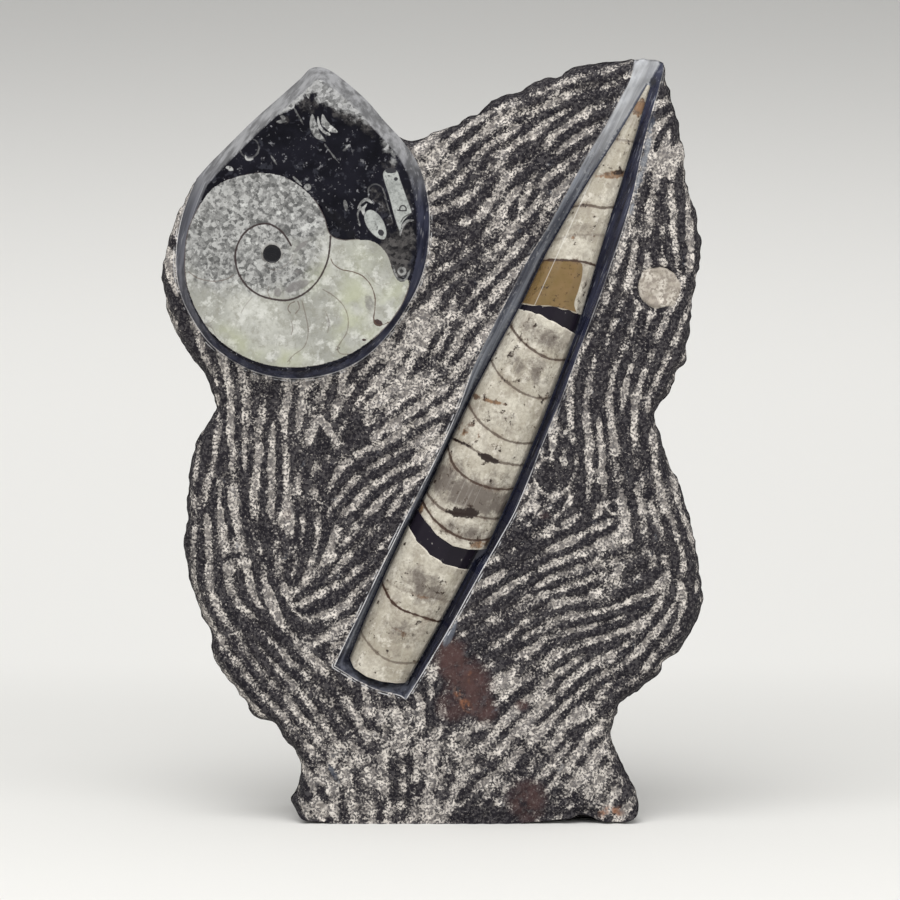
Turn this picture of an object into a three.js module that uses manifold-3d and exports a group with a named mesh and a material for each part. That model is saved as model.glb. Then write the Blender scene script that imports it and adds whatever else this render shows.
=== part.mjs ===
// Orthoceras and goniatite in a free-standing slab of black fossil limestone.
// Millimetres, +Z up. The origin is on the surface the slab stands on, under its middle.
// The carved face looks towards -Y, and +X is to the right of someone facing it.

import * as THREE from 'three';
import { mergeVertices } from 'three/addons/utils/BufferGeometryUtils.js';
import Module from 'manifold-3d';

const wasm = await Module();
wasm.setup();

// ---------------------------------------------------------------- driving dimensions

const FACE_Y = -22;          // general level of the chiselled face
const BOSS_Y = -28;          // polished facet of the raised boss
const BACK_Y_BASE = 28;      // back of the slab at its foot
const BACK_Y_TOP = 8;        // back of the slab at its top
const SLAB_HEIGHT = 300;
const FIT_GAP = 0.3;         // between a fossil and the rock around it
const OUTLINE_STEPS = 132;   // points round the slab
const BOSS_STEPS = 64;       // points round the boss
const SHELL_STEPS = 60;      // points round the goniatite
const CONE_SIDES = 14;       // facets round the long shell

// Outline of the slab, clockwise from the left end of the boss, as [x, z].
const SLAB_OUTLINE = [
  [-47, 296], [-40, 296], [-24, 282], [-11.5, 269.5], [0, 272], [13, 277.5], [24, 285.5], [38, 290],
  [50, 293.5], [62, 298.5], [78, 300], [88, 299], [91.5, 294], [95.5, 278], [98.5, 260],
  [102, 244], [105.5, 227], [102.5, 209], [99.5, 187], [95, 175], [87, 161], [90, 151], [95, 138],
  [100, 124], [104, 108], [106, 91], [102, 76], [93, 64.5], [84, 54], [74, 46], [70, 35],
  [76, 19], [82, 7], [79, 0], [50, 0], [20, 0], [-20, 0], [-50, 0], [-56, 8], [-52.5, 22],
  [-57, 31.5], [-61, 38], [-71, 43], [-80, 56], [-86.5, 67], [-90, 80], [-96, 98], [-98.5, 110],
  [-96.5, 122], [-95.5, 139], [-91, 153], [-85.5, 165], [-88, 175], [-96, 186], [-104, 203],
  [-106, 219], [-103, 232], [-98, 244], [-90, 255], [-75, 270], [-60, 283.5],
];

// The slab as layers from front to back: [share of the depth, how far the rim is broken away].
const SLAB_LAYERS = [[0, 4.5], [0.05, 1.8], [0.14, 0.3], [0.3, 0], [0.8, 0], [0.95, 2], [1, 5]];
const FOOT_FLARE = 9;        // how far the right foot runs out to the side behind its front edge
const FOOT_TOP = 35;         // height at which the flare starts

// Foot of the boss where it rises from the face, clockwise from its point, as [x, z].
const BOSS_FOOT = [
  [-45, 296.5], [-32, 288.5], [-20, 277.5], [-12, 268.5], [-7, 262], [-3, 253], [-1.5, 242],
  [-1, 230], [-2.5, 219], [-6, 209], [-11, 200], [-18, 191.5], [-26, 184], [-36, 178.5],
  [-48, 175.5], [-60, 175.5], [-71, 178], [-81, 183], [-90, 191], [-96.5, 202], [-100, 214],
  [-100.5, 226], [-98.5, 238], [-93.5, 250], [-87, 259], [-78, 269], [-68, 279], [-56, 289],
];
const BOSS_FOOT_Y = -20.5;
const BOSS_ROOT_Y = -5;      // how deep the boss's own solid runs into the slab
const BEVEL_LOW = 3;         // width of the bevel under the goniatite
const BEVEL_HIGH = 5.5;      // width of the bevel round the point

// Cut face of the goniatite, clockwise from the notch where its last whorl starts, as [x, z].
const GONIATITE_OUTLINE = [
  [-39.5, 231.5], [-35, 229.8], [-29, 229.8], [-22, 229], [-17, 224.5], [-15.3, 219], [-13, 213.6],
  [-9.5, 215], [-9.2, 210.5], [-12, 203.8], [-17, 196.8], [-24, 190], [-33, 184.3], [-44, 180.6],
  [-55, 179.6], [-66, 181], [-77, 185.8], [-86, 193], [-92, 202], [-95.6, 212], [-96.4, 222],
  [-95, 233], [-91, 242], [-87, 248], [-82, 251.8], [-75, 254.3], [-67, 255.6], [-59, 254.6],
  [-52, 251], [-46, 245.5], [-42, 238.5],
];
const GONIATITE_MIDDLE = [-55, 216];
const UMBILICUS = { x: -62.3, z: 224, radius: 3.6 };
// Depth behind the cut face and how much of the outline is left there.
const GONIATITE_LAYERS = [[0, 1], [5, 0.985], [10, 0.86], [13.5, 0.6]];

// The long shell lies along a straight line: the tip, and the direction down its length.
const TIP = { x: 84.5, z: 290 };
const LEAN = THREE.MathUtils.degToRad(65.6);
const DOWN = { x: -Math.cos(LEAN), z: -Math.sin(LEAN) };
const ACROSS = { x: Math.sin(LEAN), z: -Math.cos(LEAN) };

// Distance from the tip, width, and how far the middle lies to the right of the line.
const UPPER_SHELL = [
  [0, 1.2, 0], [12, 4, 0.3], [25, 7.2, 0.5], [39, 11.2, 0.4], [54, 15, 0.3], [76, 20.2, 0.8],
  [97, 23.8, 2.1], [117, 26.6, 2], [137, 29.2, 2], [160, 30.4, 2.1], [198, 31, 2],
];
const BASE_SHELL = [[190, 30, 0.4], [211, 28.8, -0.4], [235, 26.8, -1.2], [258, 24.2, -1.6]];

// Broken ends, as [distance from the tip, distance to the right of the line].
const TIP_END = [[98.4, -14], [98.4, -9.6], [95.1, -0.2], [93.6, 6.8], [91.8, 20]];
const MIDDLE_START = [[100.8, -14], [100.6, -9.8], [99.3, -1.7], [99.6, 7.2], [101, 20]];
const MIDDLE_END = [[187, -18], [191.9, -9], [194.4, -2.4], [195.5, 4.7], [194.4, 10.8], [191, 20]];
const BASE_START = [[194, -18], [199.5, -8.9], [202, -2.2], [203.1, 4.9], [202.5, 11.2], [201.5, 20]];
const BASE_END = [[252, -18], [254, -13.2], [255.8, -10.8], [256.5, -5], [255.8, 1.3], [254.2, 7.2],
  [251, 10.8], [246, 18]];
const BEYOND_TIP = -4;

const CREST_SHARE = 0.38;    // height of the ground front of the shell, as a share of its width
const BELLY_SHARE = 0.42;    // depth of the part still in the rock
const TROUGH_DEPTH_TIP = 3.5;
const TROUGH_DEPTH_WIDE = 7;
const WIDEST = 30;

// Edges of the trough on the face: distance from the tip, left edge and right edge.
const TROUGH = [
  [-18, -8.8, 0.5], [0, -7.8, 4], [12, -8.1, 5.5], [24, -9.4, 7.4], [36, -10.7, 10.3],
  [50, -11.8, 13], [70, -13.1, 14.8], [94, -15.2, 16.8], [120, -16.6, 19], [143, -15, 20],
  [170, -15.4, 21.1], [190, -16.1, 19.9], [206, -16.7, 18.4], [222, -17.2, 17.1],
  [247, -17.8, 14.4],
];
const TROUGH_END = { floor: 257.3, edge: 259.6, left: -17.6, right: 13 };
const TROUGH_CLEAR_Y = -34;  // the cut runs out in front of the face to here
const FLOOR_MARGIN = 0.7;    // trough floor beside the shell

const STRAIGHT_SHELL = [
  [-19.3, 256.3], [-12.8, 257.3], [-10.2, 248], [-8.4, 241.5], [-8, 239], [-12.6, 232.2],
  [-14.3, 236], [-17, 245.5],
];
const OVAL_SHELL = { x: -21.7, z: 235.8, long: 6.3, short: 3.1, lean: -58.5 };
const CRINOID = { x: 88, z: 211, radius: 8.4, proud: 0.4 };
const SMALL_SHELL_DEPTH = 5;

// ---------------------------------------------------------------- shapes

const smooth = THREE.MathUtils.smoothstep;
const lerp = THREE.MathUtils.lerp;

// Evenly spaced points on a closed curve through [x, z] points.
function closedOutline(points, count) {
  const curve = new THREE.CatmullRomCurve3(
    points.map(([x, z]) => new THREE.Vector3(x, 0, z)), true, 'centripetal');
  return curve.getSpacedPoints(count).slice(0, count);
}

// The same outline moved inwards by a distance that can change from point to point.
function inset(outline, distanceAt) {
  return outline.map((point, i) => {
    const before = outline[(i + outline.length - 1) % outline.length];
    const after = outline[(i + 1) % outline.length];
    const along = new THREE.Vector3().subVectors(after, before).normalize();
    const inward = new THREE.Vector3(along.z, 0, -along.x);
    return point.clone().addScaledVector(inward, distanceAt(point));
  });
}

function signedVolume(geometry) {
  const p = geometry.attributes.position;
  const [a, b, c] = [new THREE.Vector3(), new THREE.Vector3(), new THREE.Vector3()];
  let volume = 0;
  for (let i = 0; i < geometry.index.count; i += 3) {
    a.fromBufferAttribute(p, geometry.index.getX(i));
    b.fromBufferAttribute(p, geometry.index.getX(i + 1));
    c.fromBufferAttribute(p, geometry.index.getX(i + 2));
    volume += a.dot(b.cross(c)) / 6;
  }
  return volume;
}

// Closed solid through rings of points, its ends filled flat as seen in the given plane.
function loft(rings, flatten) {
  const count = rings[0].length;
  const index = [];
  for (let r = 0; r + 1 < rings.length; r += 1) {
    for (let i = 0; i < count; i += 1) {
      const j = (i + 1) % count;
      const [a, b, c, d] = [r * count + i, r * count + j, (r + 1) * count + j, (r + 1) * count + i];
      index.push(a, b, c, a, c, d);
    }
  }
  const fill = (r, direction) => {
    const flat = rings[r].map(flatten);
    const corners = THREE.ShapeUtils.triangulateShape(flat, []);
    const turns = corners.reduce((sum, t) => sum + THREE.ShapeUtils.area(t.map((k) => flat[k])), 0);
    const keep = turns * THREE.ShapeUtils.area(flat) * direction > 0;
    for (const [a, b, c] of corners) {
      index.push(...(keep ? [a, b, c] : [a, c, b]).map((k) => r * count + k));
    }
  };
  fill(0, -1);
  fill(rings.length - 1, 1);
  const geometry = new THREE.BufferGeometry();
  const positions = rings.flat().flatMap((v) => [v.x, v.y, v.z]);
  geometry.setAttribute('position', new THREE.Float32BufferAttribute(positions, 3));
  geometry.setIndex(index);
  if (signedVolume(geometry) < 0) {
    geometry.setIndex(index.map((v, i) => index[i % 3 === 1 ? i + 1 : i % 3 === 2 ? i - 1 : i]));
  }
  return geometry;
}

const facing = (v) => new THREE.Vector2(v.x, v.z);

// Straight-sided solid with an [x, z] outline, from one depth to another.
function slice(points, frontY, backY) {
  const shape = new THREE.Shape(points.map(([x, z]) => new THREE.Vector2(x, z)));
  const geometry = new THREE.ExtrudeGeometry(shape, { depth: backY - frontY, bevelEnabled: false });
  return geometry.rotateX(Math.PI / 2).translate(0, backY, 0);
}

function toSolid(geometry) {
  const bare = geometry.clone();
  bare.deleteAttribute('normal');
  bare.deleteAttribute('uv');
  const merged = mergeVertices(bare, 1e-4);
  return new wasm.Manifold(new wasm.Mesh({
    numProp: 3,
    vertProperties: new Float32Array(merged.attributes.position.array),
    triVerts: new Uint32Array(merged.index.array),
  }));
}

function toGeometry(solid) {
  const mesh = solid.getMesh();
  const geometry = new THREE.BufferGeometry();
  geometry.setAttribute('position', new THREE.BufferAttribute(mesh.vertProperties, 3));
  geometry.setIndex(new THREE.BufferAttribute(mesh.triVerts, 1));
  geometry.computeVertexNormals();
  return geometry;
}

// ---------------------------------------------------------------- slab and boss

const backY = (z) => lerp(BACK_Y_BASE, BACK_Y_TOP, z / SLAB_HEIGHT);

// The right foot spreads sideways from its front edge to its back.
function spreadFoot(point, depthShare) {
  const nearFoot = smooth(point.x, 56, 74) * (1 - smooth(point.z, 4, FOOT_TOP));
  point.x -= FOOT_FLARE * nearFoot * (1 - smooth(depthShare, 0, 0.3));
}

function slabBody() {
  const outline = closedOutline(SLAB_OUTLINE, OUTLINE_STEPS);
  const rings = SLAB_LAYERS.map(([share, broken]) => {
    const ring = inset(outline, (p) => broken * lerp(0.5, 1, smooth(p.z, 2, 14)));
    for (const point of ring) {
      point.z = Math.max(point.z, 0);
      point.y = lerp(FACE_Y, backY(point.z), share);
      spreadFoot(point, share);
    }
    return ring;
  });
  return toSolid(loft(rings, facing));
}

function boss() {
  const foot = closedOutline(BOSS_FOOT, BOSS_STEPS);
  const bevel = (p) => lerp(BEVEL_LOW, BEVEL_HIGH, smooth(p.z, 195, 250));
  const rings = [
    inset(foot, bevel).map((p) => p.setY(BOSS_Y)),
    foot.map((p) => p.clone().setY(BOSS_FOOT_Y)),
    inset(foot, () => 3).map((p) => p.setY(BOSS_ROOT_Y)),
  ];
  return toSolid(loft(rings, facing));
}

// ---------------------------------------------------------------- long shell

// A place on the slab from the distance down the shell's line and across it.
function onLine(distance, across, y = 0) {
  return new THREE.Vector3(
    TIP.x + DOWN.x * distance + ACROSS.x * across, y,
    TIP.z + DOWN.z * distance + ACROSS.z * across);
}

const troughDepth = (width) => lerp(TROUGH_DEPTH_TIP, TROUGH_DEPTH_WIDE, Math.min(width / WIDEST, 1));

// The tapering shell as a closed cone: ground to a low crest in front, round in the rock.
function coneSolid(stations, grow = 0) {
  const rings = stations.map(([distance, width, middle]) => {
    const ring = [];
    for (let i = 0; i < CONE_SIDES; i += 1) {
      const angle = (2 * Math.PI * (i + 0.5)) / CONE_SIDES;
      const share = Math.sin(angle) > 0 ? CREST_SHARE : BELLY_SHARE;
      const across = middle + (width / 2 + grow) * Math.cos(angle);
      const forward = (width * share + grow) * Math.sin(angle);
      ring.push(onLine(distance, across, FACE_Y + troughDepth(width) - forward));
    }
    return ring;
  });
  const acrossLine = (v) => new THREE.Vector2(v.x * ACROSS.x + v.z * ACROSS.z, v.y);
  return toSolid(loft(rings, acrossLine));
}

// A block that keeps the stretch of the shell between two broken ends.
function stretch(start, end, grow = 0) {
  const corners = [
    ...start.map(([distance, across]) => onLine(distance - grow, across)),
    ...end.map(([distance, across]) => onLine(distance + grow, across)).reverse(),
  ];
  return toSolid(slice(corners.map((v) => [v.x, v.z]), TROUGH_CLEAR_Y, BACK_Y_TOP));
}

const TIP_START = [[BEYOND_TIP, -14], [BEYOND_TIP, 20]];
const STRETCHES = [
  { name: 'orthoceras_tip', shell: UPPER_SHELL, start: TIP_START, end: TIP_END },
  { name: 'orthoceras_middle', shell: UPPER_SHELL, start: MIDDLE_START, end: MIDDLE_END },
  { name: 'orthoceras_base', shell: BASE_SHELL, start: BASE_START, end: BASE_END },
];

function shellLength({ shell, start, end }, grow = 0) {
  return coneSolid(shell, grow).intersect(stretch(start, end, grow));
}

// Rock that fills the two breaks, ground down together with the shell.
function matrixInBreaks() {
  const first = coneSolid(UPPER_SHELL).intersect(stretch(TIP_END, MIDDLE_START, FIT_GAP));
  const second = coneSolid(BASE_SHELL).intersect(stretch(MIDDLE_END, BASE_START, FIT_GAP));
  return first.add(second);
}

function shellHalfWidths(distance) {
  const stations = distance < 196 ? UPPER_SHELL : BASE_SHELL;
  const next = Math.max(1, stations.findIndex(([d]) => d >= distance));
  const [[d0, w0, m0], [d1, w1, m1]] = [stations[next - 1], stations[next]];
  const share = THREE.MathUtils.clamp((distance - d0) / (d1 - d0), 0, 1);
  const width = lerp(w0, w1, share);
  const middle = lerp(m0, m1, share);
  return { width, left: middle - width / 2 - FLOOR_MARGIN, right: middle + width / 2 + FLOOR_MARGIN };
}

// The ground hollow round the shell: a flat floor and walls that slope out to the face.
function trough() {
  const wall = (edge, floor, depth) => edge + ((edge - floor) * (FACE_Y - TROUGH_CLEAR_Y)) / depth;
  const ring = (distance, left, right, front = distance) => {
    const { width, left: floorLeft, right: floorRight } = shellHalfWidths(distance);
    const depth = troughDepth(width);
    return [
      onLine(front, wall(left, floorLeft, depth), TROUGH_CLEAR_Y),
      onLine(front, wall(right, floorRight, depth), TROUGH_CLEAR_Y),
      onLine(distance, floorRight, FACE_Y + depth),
      onLine(distance, floorLeft, FACE_Y + depth),
    ];
  };
  const rings = TROUGH.map(([distance, left, right]) => ring(distance, left, right));
  const { floor, edge, left, right } = TROUGH_END;
  rings.push(ring(floor, left, right, wall(edge, floor, TROUGH_DEPTH_WIDE)));
  return toSolid(loft(rings, (v) => new THREE.Vector2(v.x * ACROSS.x + v.z * ACROSS.z, v.y)));
}

// ---------------------------------------------------------------- goniatite and small shells

function goniatite(grow = 0) {
  const outline = inset(closedOutline(GONIATITE_OUTLINE, SHELL_STEPS), () => -grow);
  const rings = GONIATITE_LAYERS.map(([depth, share], i) => outline.map((p) => new THREE.Vector3(
    lerp(GONIATITE_MIDDLE[0], p.x, share),
    BOSS_Y + depth + (i === 0 ? -grow : grow),
    lerp(GONIATITE_MIDDLE[1], p.z, share))));
  const eye = new THREE.CylinderGeometry(UMBILICUS.radius - grow, UMBILICUS.radius - grow, 40, 24);
  eye.translate(UMBILICUS.x, BOSS_Y, UMBILICUS.z);
  return toSolid(loft(rings, facing)).subtract(toSolid(eye));
}

function straightShell(grow = 0) {
  const corners = STRAIGHT_SHELL.map(([x, z]) => new THREE.Vector3(x, 0, z));
  const outline = inset(corners, () => -grow).map((v) => [v.x, v.z]);
  return toSolid(slice(outline, BOSS_Y - grow, BOSS_Y + SMALL_SHELL_DEPTH + grow));
}

function ovalShell(grow = 0) {
  const geometry = new THREE.CylinderGeometry(1, 1, SMALL_SHELL_DEPTH + 2 * grow, 28);
  geometry.scale(OVAL_SHELL.long + grow, 1, OVAL_SHELL.short + grow);
  geometry.rotateY(-THREE.MathUtils.degToRad(OVAL_SHELL.lean));
  geometry.translate(OVAL_SHELL.x, BOSS_Y + SMALL_SHELL_DEPTH / 2, OVAL_SHELL.z);
  return toSolid(geometry);
}

function crinoidDisc(grow = 0) {
  const depth = SMALL_SHELL_DEPTH + CRINOID.proud + 2 * grow;
  const geometry = new THREE.CylinderGeometry(CRINOID.radius + grow, CRINOID.radius + grow, depth, 32);
  const middleY = FACE_Y + (SMALL_SHELL_DEPTH - CRINOID.proud) / 2;
  geometry.translate(CRINOID.x, middleY, CRINOID.z);
  return toSolid(geometry);
}

// ---------------------------------------------------------------- slab with its pockets

function slab() {
  let rock = slabBody().add(boss()).subtract(trough()).add(matrixInBreaks());
  for (const length of STRETCHES) rock = rock.subtract(shellLength(length, FIT_GAP));
  for (const fossil of [goniatite, straightShell, ovalShell, crinoidDisc]) {
    rock = rock.subtract(fossil(FIT_GAP));
  }
  return rock;
}

// ---------------------------------------------------------------- the piece, assembled

const finishes = {
  rock: { color: 0x4a474a, roughness: 0.85 },
  goniatite: { color: 0xb9bbb2, roughness: 0.3 },
  longShell: { color: 0xc2b9a4, roughness: 0.45 },
  smallShell: { color: 0xbfc0bd, roughness: 0.35 },
  crinoid: { color: 0xa39c8c, roughness: 0.8 },
};

const object = new THREE.Group();
object.name = 'orthoceras_fossil';

function addPiece(name, solid, finish) {
  const material = new THREE.MeshStandardMaterial({ ...finish, metalness: 0 });
  const mesh = new THREE.Mesh(toGeometry(solid), material);
  mesh.name = name;
  object.add(mesh);
}

addPiece('stone_slab', slab(), finishes.rock);
for (const length of STRETCHES) addPiece(length.name, shellLength(length), finishes.longShell);
addPiece('goniatite_shell', goniatite(), finishes.goniatite);
addPiece('small_straight_shell', straightShell(), finishes.smallShell);
addPiece('small_oval_shell', ovalShell(), finishes.smallShell);
addPiece('crinoid_disc', crinoidDisc(), finishes.crinoid);

export default object;
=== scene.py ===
import math
import bpy
import numpy as np
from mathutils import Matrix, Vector
from mathutils.geometry import delaunay_2d_cdt
from mathutils.kdtree import KDTree


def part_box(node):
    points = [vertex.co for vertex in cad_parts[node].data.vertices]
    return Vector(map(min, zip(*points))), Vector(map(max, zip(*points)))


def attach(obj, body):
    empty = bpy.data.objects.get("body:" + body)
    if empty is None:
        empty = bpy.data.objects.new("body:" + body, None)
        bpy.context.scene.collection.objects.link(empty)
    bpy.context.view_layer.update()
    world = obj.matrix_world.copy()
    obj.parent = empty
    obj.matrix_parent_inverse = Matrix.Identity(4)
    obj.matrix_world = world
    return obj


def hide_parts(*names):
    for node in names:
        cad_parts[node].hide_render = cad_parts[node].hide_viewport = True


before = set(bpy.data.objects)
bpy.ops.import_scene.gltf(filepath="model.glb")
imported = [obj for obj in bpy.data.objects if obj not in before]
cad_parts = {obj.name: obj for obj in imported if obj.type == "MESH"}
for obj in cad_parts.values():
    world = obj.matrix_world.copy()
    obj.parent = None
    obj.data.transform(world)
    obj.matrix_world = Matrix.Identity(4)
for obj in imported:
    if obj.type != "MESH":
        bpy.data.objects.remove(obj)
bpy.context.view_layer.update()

# ---------------------------------------------------------------------------------------------
# The block. One slab of black Devonian limestone, broken to shape round its edge, sawn flat
# under the foot and behind. Lengths here are millimetres: x to the right, z up, y to the back.

BOSS_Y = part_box("goniatite_shell")[0].y * 1000
FACE_Y = BOSS_Y + 6
BACK_Y_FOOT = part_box("stone_slab")[1].y * 1000
BACK_Y_TOP = BACK_Y_FOOT - 20
TOP_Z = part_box("stone_slab")[1].z * 1000

# Broken edge of the rock, clockwise from the right end of the boss to its left end.
ROCK_EDGE = [
    (-9, 268.2), (-4, 269.3), (0, 271.8), (5, 273.3), (10, 274.4), (13, 277.3), (17, 278.8),
    (20, 281.4), (26, 285.6), (30, 286.3), (34, 287.9), (41, 291.4), (45, 292.8), (49, 292.9),
    (52, 294.8), (57, 297.4), (65, 298.4), (70, 299.5), (78, 299.9), (84, 299.8), (88, 299),
    (90.3, 297.5), (91, 293), (93, 285), (95, 279), (97, 270), (98.2, 263), (99, 257), (98.9, 252.5),
    (100, 248), (102, 244), (103.5, 239), (103.6, 235), (105, 230), (105, 225), (103.6, 215),
    (102.4, 209), (101.2, 199), (100.4, 192), (99, 188.6), (99.4, 185), (98.8, 181), (95.2, 177.4),
    (94.6, 173.6), (92.8, 170), (89.6, 166.2), (87, 162), (87.8, 158), (90.4, 150), (91.4, 146),
    (95, 138), (97.4, 134), (98.8, 128), (100.4, 124), (102, 116), (104, 107), (104.4, 103),
    (105.8, 94), (106, 88), (104.9, 84), (103.8, 80), (100, 72), (98.2, 69), (95.4, 66.2), (91, 63),
    (89.4, 59.6), (86.6, 56.4), (83.6, 54), (80, 51), (76.2, 49), (73.6, 46), (73, 43), (71.4, 41.2),
    (70.9, 38), (70, 34.5), (71.6, 30), (74, 25.4), (77, 19), (79.6, 13.6), (81.2, 8), (80.8, 4),
    (78, 1.4), (66, 1.2), (62, 3), (58, 3.6), (54, 2.2), (48, 1.6), (40, 0.8), (30, 0), (10, 0),
    (-15, 0), (-36, 0), (-44, 0.8), (-51, 1.6), (-54, 5), (-56, 9), (-54.8, 12.2), (-52.6, 16.4),
    (-52, 20), (-52.8, 25.6), (-54.6, 29), (-57.4, 31.6), (-60, 35.4), (-61.4, 38.4), (-65, 39.8),
    (-69, 40.8), (-71.6, 43.2), (-74, 47.4), (-77, 52), (-80.4, 56.2), (-84, 60.4), (-86, 65),
    (-87.2, 70), (-88.2, 76.6), (-90, 80), (-93, 88), (-95.4, 95.4), (-97, 103), (-98.5, 110),
    (-97.4, 115.4), (-96.4, 121), (-96.5, 127), (-95.7, 133), (-95.4, 139), (-93.8, 145), (-91.6, 152),
    (-89, 156.4), (-86.4, 160.2), (-85.4, 163.8), (-85.5, 167), (-86.6, 171), (-88.2, 175.2),
    (-92.6, 181.6), (-96.4, 186.2), (-100, 192), (-102.4, 197.4), (-104.4, 203.4), (-105.4, 210),
    (-106, 217.6), (-104.8, 225), (-103, 232), (-100.6, 238.6), (-97.6, 244.4), (-94.6, 250),
]
# Rim of the boss above the notch, clockwise from the left end to the right end.
BOSS_CROWN = [
    (-92, 253.4), (-87, 259), (-80, 266), (-70, 275.8), (-60, 284.6), (-51, 292.6), (-47.6, 296),
    (-44, 296.6), (-40, 295.4), (-32, 289.4), (-25, 283), (-19, 276), (-13, 269.6),
]
# Foot of the boss on the chiselled face, from the right end down and round to the left end.
BOSS_FOOT = [
    (-8, 263), (-4.4, 256), (-2.4, 248), (-1.4, 240), (-1.6, 230), (-2.8, 221), (-5.6, 212),
    (-10, 203.6), (-16, 194.6), (-23, 186.8), (-31, 181), (-40, 177.4), (-50, 175.6), (-60, 175.9),
    (-70, 178.4), (-79, 183), (-87, 189.4), (-93, 197.6), (-97.6, 207), (-99.8, 217), (-99.6, 228),
    (-97.4, 239), (-94.6, 247),
]
# Outer edges of the ground trough, from the top of the slab down.
TROUGH_LEFT = [
    (79, 299.9), (77, 292), (73, 284), (66.4, 272), (60, 261.6), (50, 243.4), (45, 234), (38, 223),
    (32, 211.4), (26, 200), (21, 190), (16, 179.6), (11.4, 166.4), (6, 153.6), (0, 141), (-10, 121.4),
    (-16, 109.2), (-22, 97), (-28, 84.2), (-34, 72), (-38.4, 62.6),
]
TROUGH_END = [(-30, 57.2), (-22, 53.4), (-12.4, 50.8), (-10.6, 49.4)]
TROUGH_RIGHT = [
    (-4, 60), (2, 70), (8, 80.2), (14, 91), (20, 101.8), (26, 112.2), (32, 123.2), (37, 135),
    (43, 150.2), (50, 167), (56, 183), (60.4, 195), (66, 210), (69.4, 220), (73, 230.4), (76, 240),
    (78.2, 248), (80.2, 258), (82.4, 268), (85, 278), (88, 288.4), (90.3, 297.5),
]


def smooth_path(points, spacing, closed=False):
    """Evenly spaced points on a rounded curve through a few chosen ones."""
    p = np.array(points, float)
    before, after = ([p[-1]], p[:2]) if closed else ([2 * p[0] - p[1]], [2 * p[-1] - p[-2]])
    ring = np.vstack([before, p, after])
    pieces = []
    for a, b, c, d in zip(ring[:-3], ring[1:-2], ring[2:-1], ring[3:]):
        knots = np.cumsum([0] + [max(math.dist(u, v), 1e-6) ** 0.5 for u, v in ((a, b), (b, c), (c, d))])
        t = np.linspace(knots[1], knots[2], 12, endpoint=False)[:, None]
        ab = a + (b - a) * (t - knots[0]) / (knots[1] - knots[0])
        bc = b + (c - b) * (t - knots[1]) / (knots[2] - knots[1])
        cd = c + (d - c) * (t - knots[2]) / (knots[3] - knots[2])
        abc = ab + (bc - ab) * (t - knots[0]) / (knots[2] - knots[0])
        bcd = bc + (cd - bc) * (t - knots[1]) / (knots[3] - knots[1])
        pieces.append(abc + (bcd - abc) * (t - knots[1]) / (knots[2] - knots[1]))
    dense = np.vstack(pieces + [p[:1] if closed else p[-1:]])
    along = np.concatenate([[0], np.cumsum(np.hypot(*np.diff(dense, axis=0).T))])
    count = max(2, int(round(along[-1] / spacing)))
    at = np.linspace(0, along[-1], count + 1)
    even = np.column_stack([np.interp(at, along, dense[:, k]) for k in (0, 1)])
    return even[:-1] if closed else even


def distance_to(points, path, closed=False):
    """Distance from each point to a path, and how far along the path the nearest place is."""
    ends = np.vstack([path, path[:1]]) if closed else np.asarray(path, float)
    start, step = ends[:-1], np.diff(ends, axis=0)
    length = np.maximum(np.hypot(*step.T), 1e-9)
    before = np.concatenate([[0], np.cumsum(length)[:-1]])
    best, where = np.empty(len(points)), np.empty(len(points))
    for k in range(0, len(points), 4000):
        block = points[k:k + 4000]
        gap = block[:, None, :] - start[None]
        share = np.clip((gap * step).sum(2) / length ** 2, 0, 1)
        apart = np.hypot(*np.moveaxis(gap - share[..., None] * step, 2, 0))
        near = apart.argmin(1)
        rows = np.arange(len(block))
        best[k:k + 4000] = apart[rows, near]
        where[k:k + 4000] = before[near] + share[rows, near] * length[near]
    return best, where


def inside(points, loop):
    """True for each point within a closed loop."""
    result = np.zeros(len(points), bool)
    for (x0, z0), (x1, z1) in zip(loop, np.roll(loop, -1, axis=0)):
        if z0 == z1:
            continue
        crosses = (points[:, 1] >= min(z0, z1)) & (points[:, 1] < max(z0, z1))
        result ^= crosses & (points[:, 0] < x0 + (points[:, 1] - z0) * (x1 - x0) / (z1 - z0))
    return result


def ease(value, low, high):
    """0 below low, 1 above high and a smooth change between."""
    t = np.clip((value - low) / (high - low), 0, 1)
    return t * t * (3 - 2 * t)


def mottle(seed, points, size):
    """Smooth random values from 0 to 1 that change over about the given size."""
    lattice = np.random.default_rng(seed).random((256, 256))
    scaled = points / size + 512
    cell = np.floor(scaled).astype(int)
    t = scaled - cell
    t = t * t * (3 - 2 * t)
    corner = lambda dx, dz: lattice[(cell[:, 0] + dx) % 256, (cell[:, 1] + dz) % 256]
    low = corner(0, 0) * (1 - t[:, 0]) + corner(1, 0) * t[:, 0]
    high = corner(0, 1) * (1 - t[:, 0]) + corner(1, 1) * t[:, 0]
    return low * (1 - t[:, 1]) + high * t[:, 1]


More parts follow.
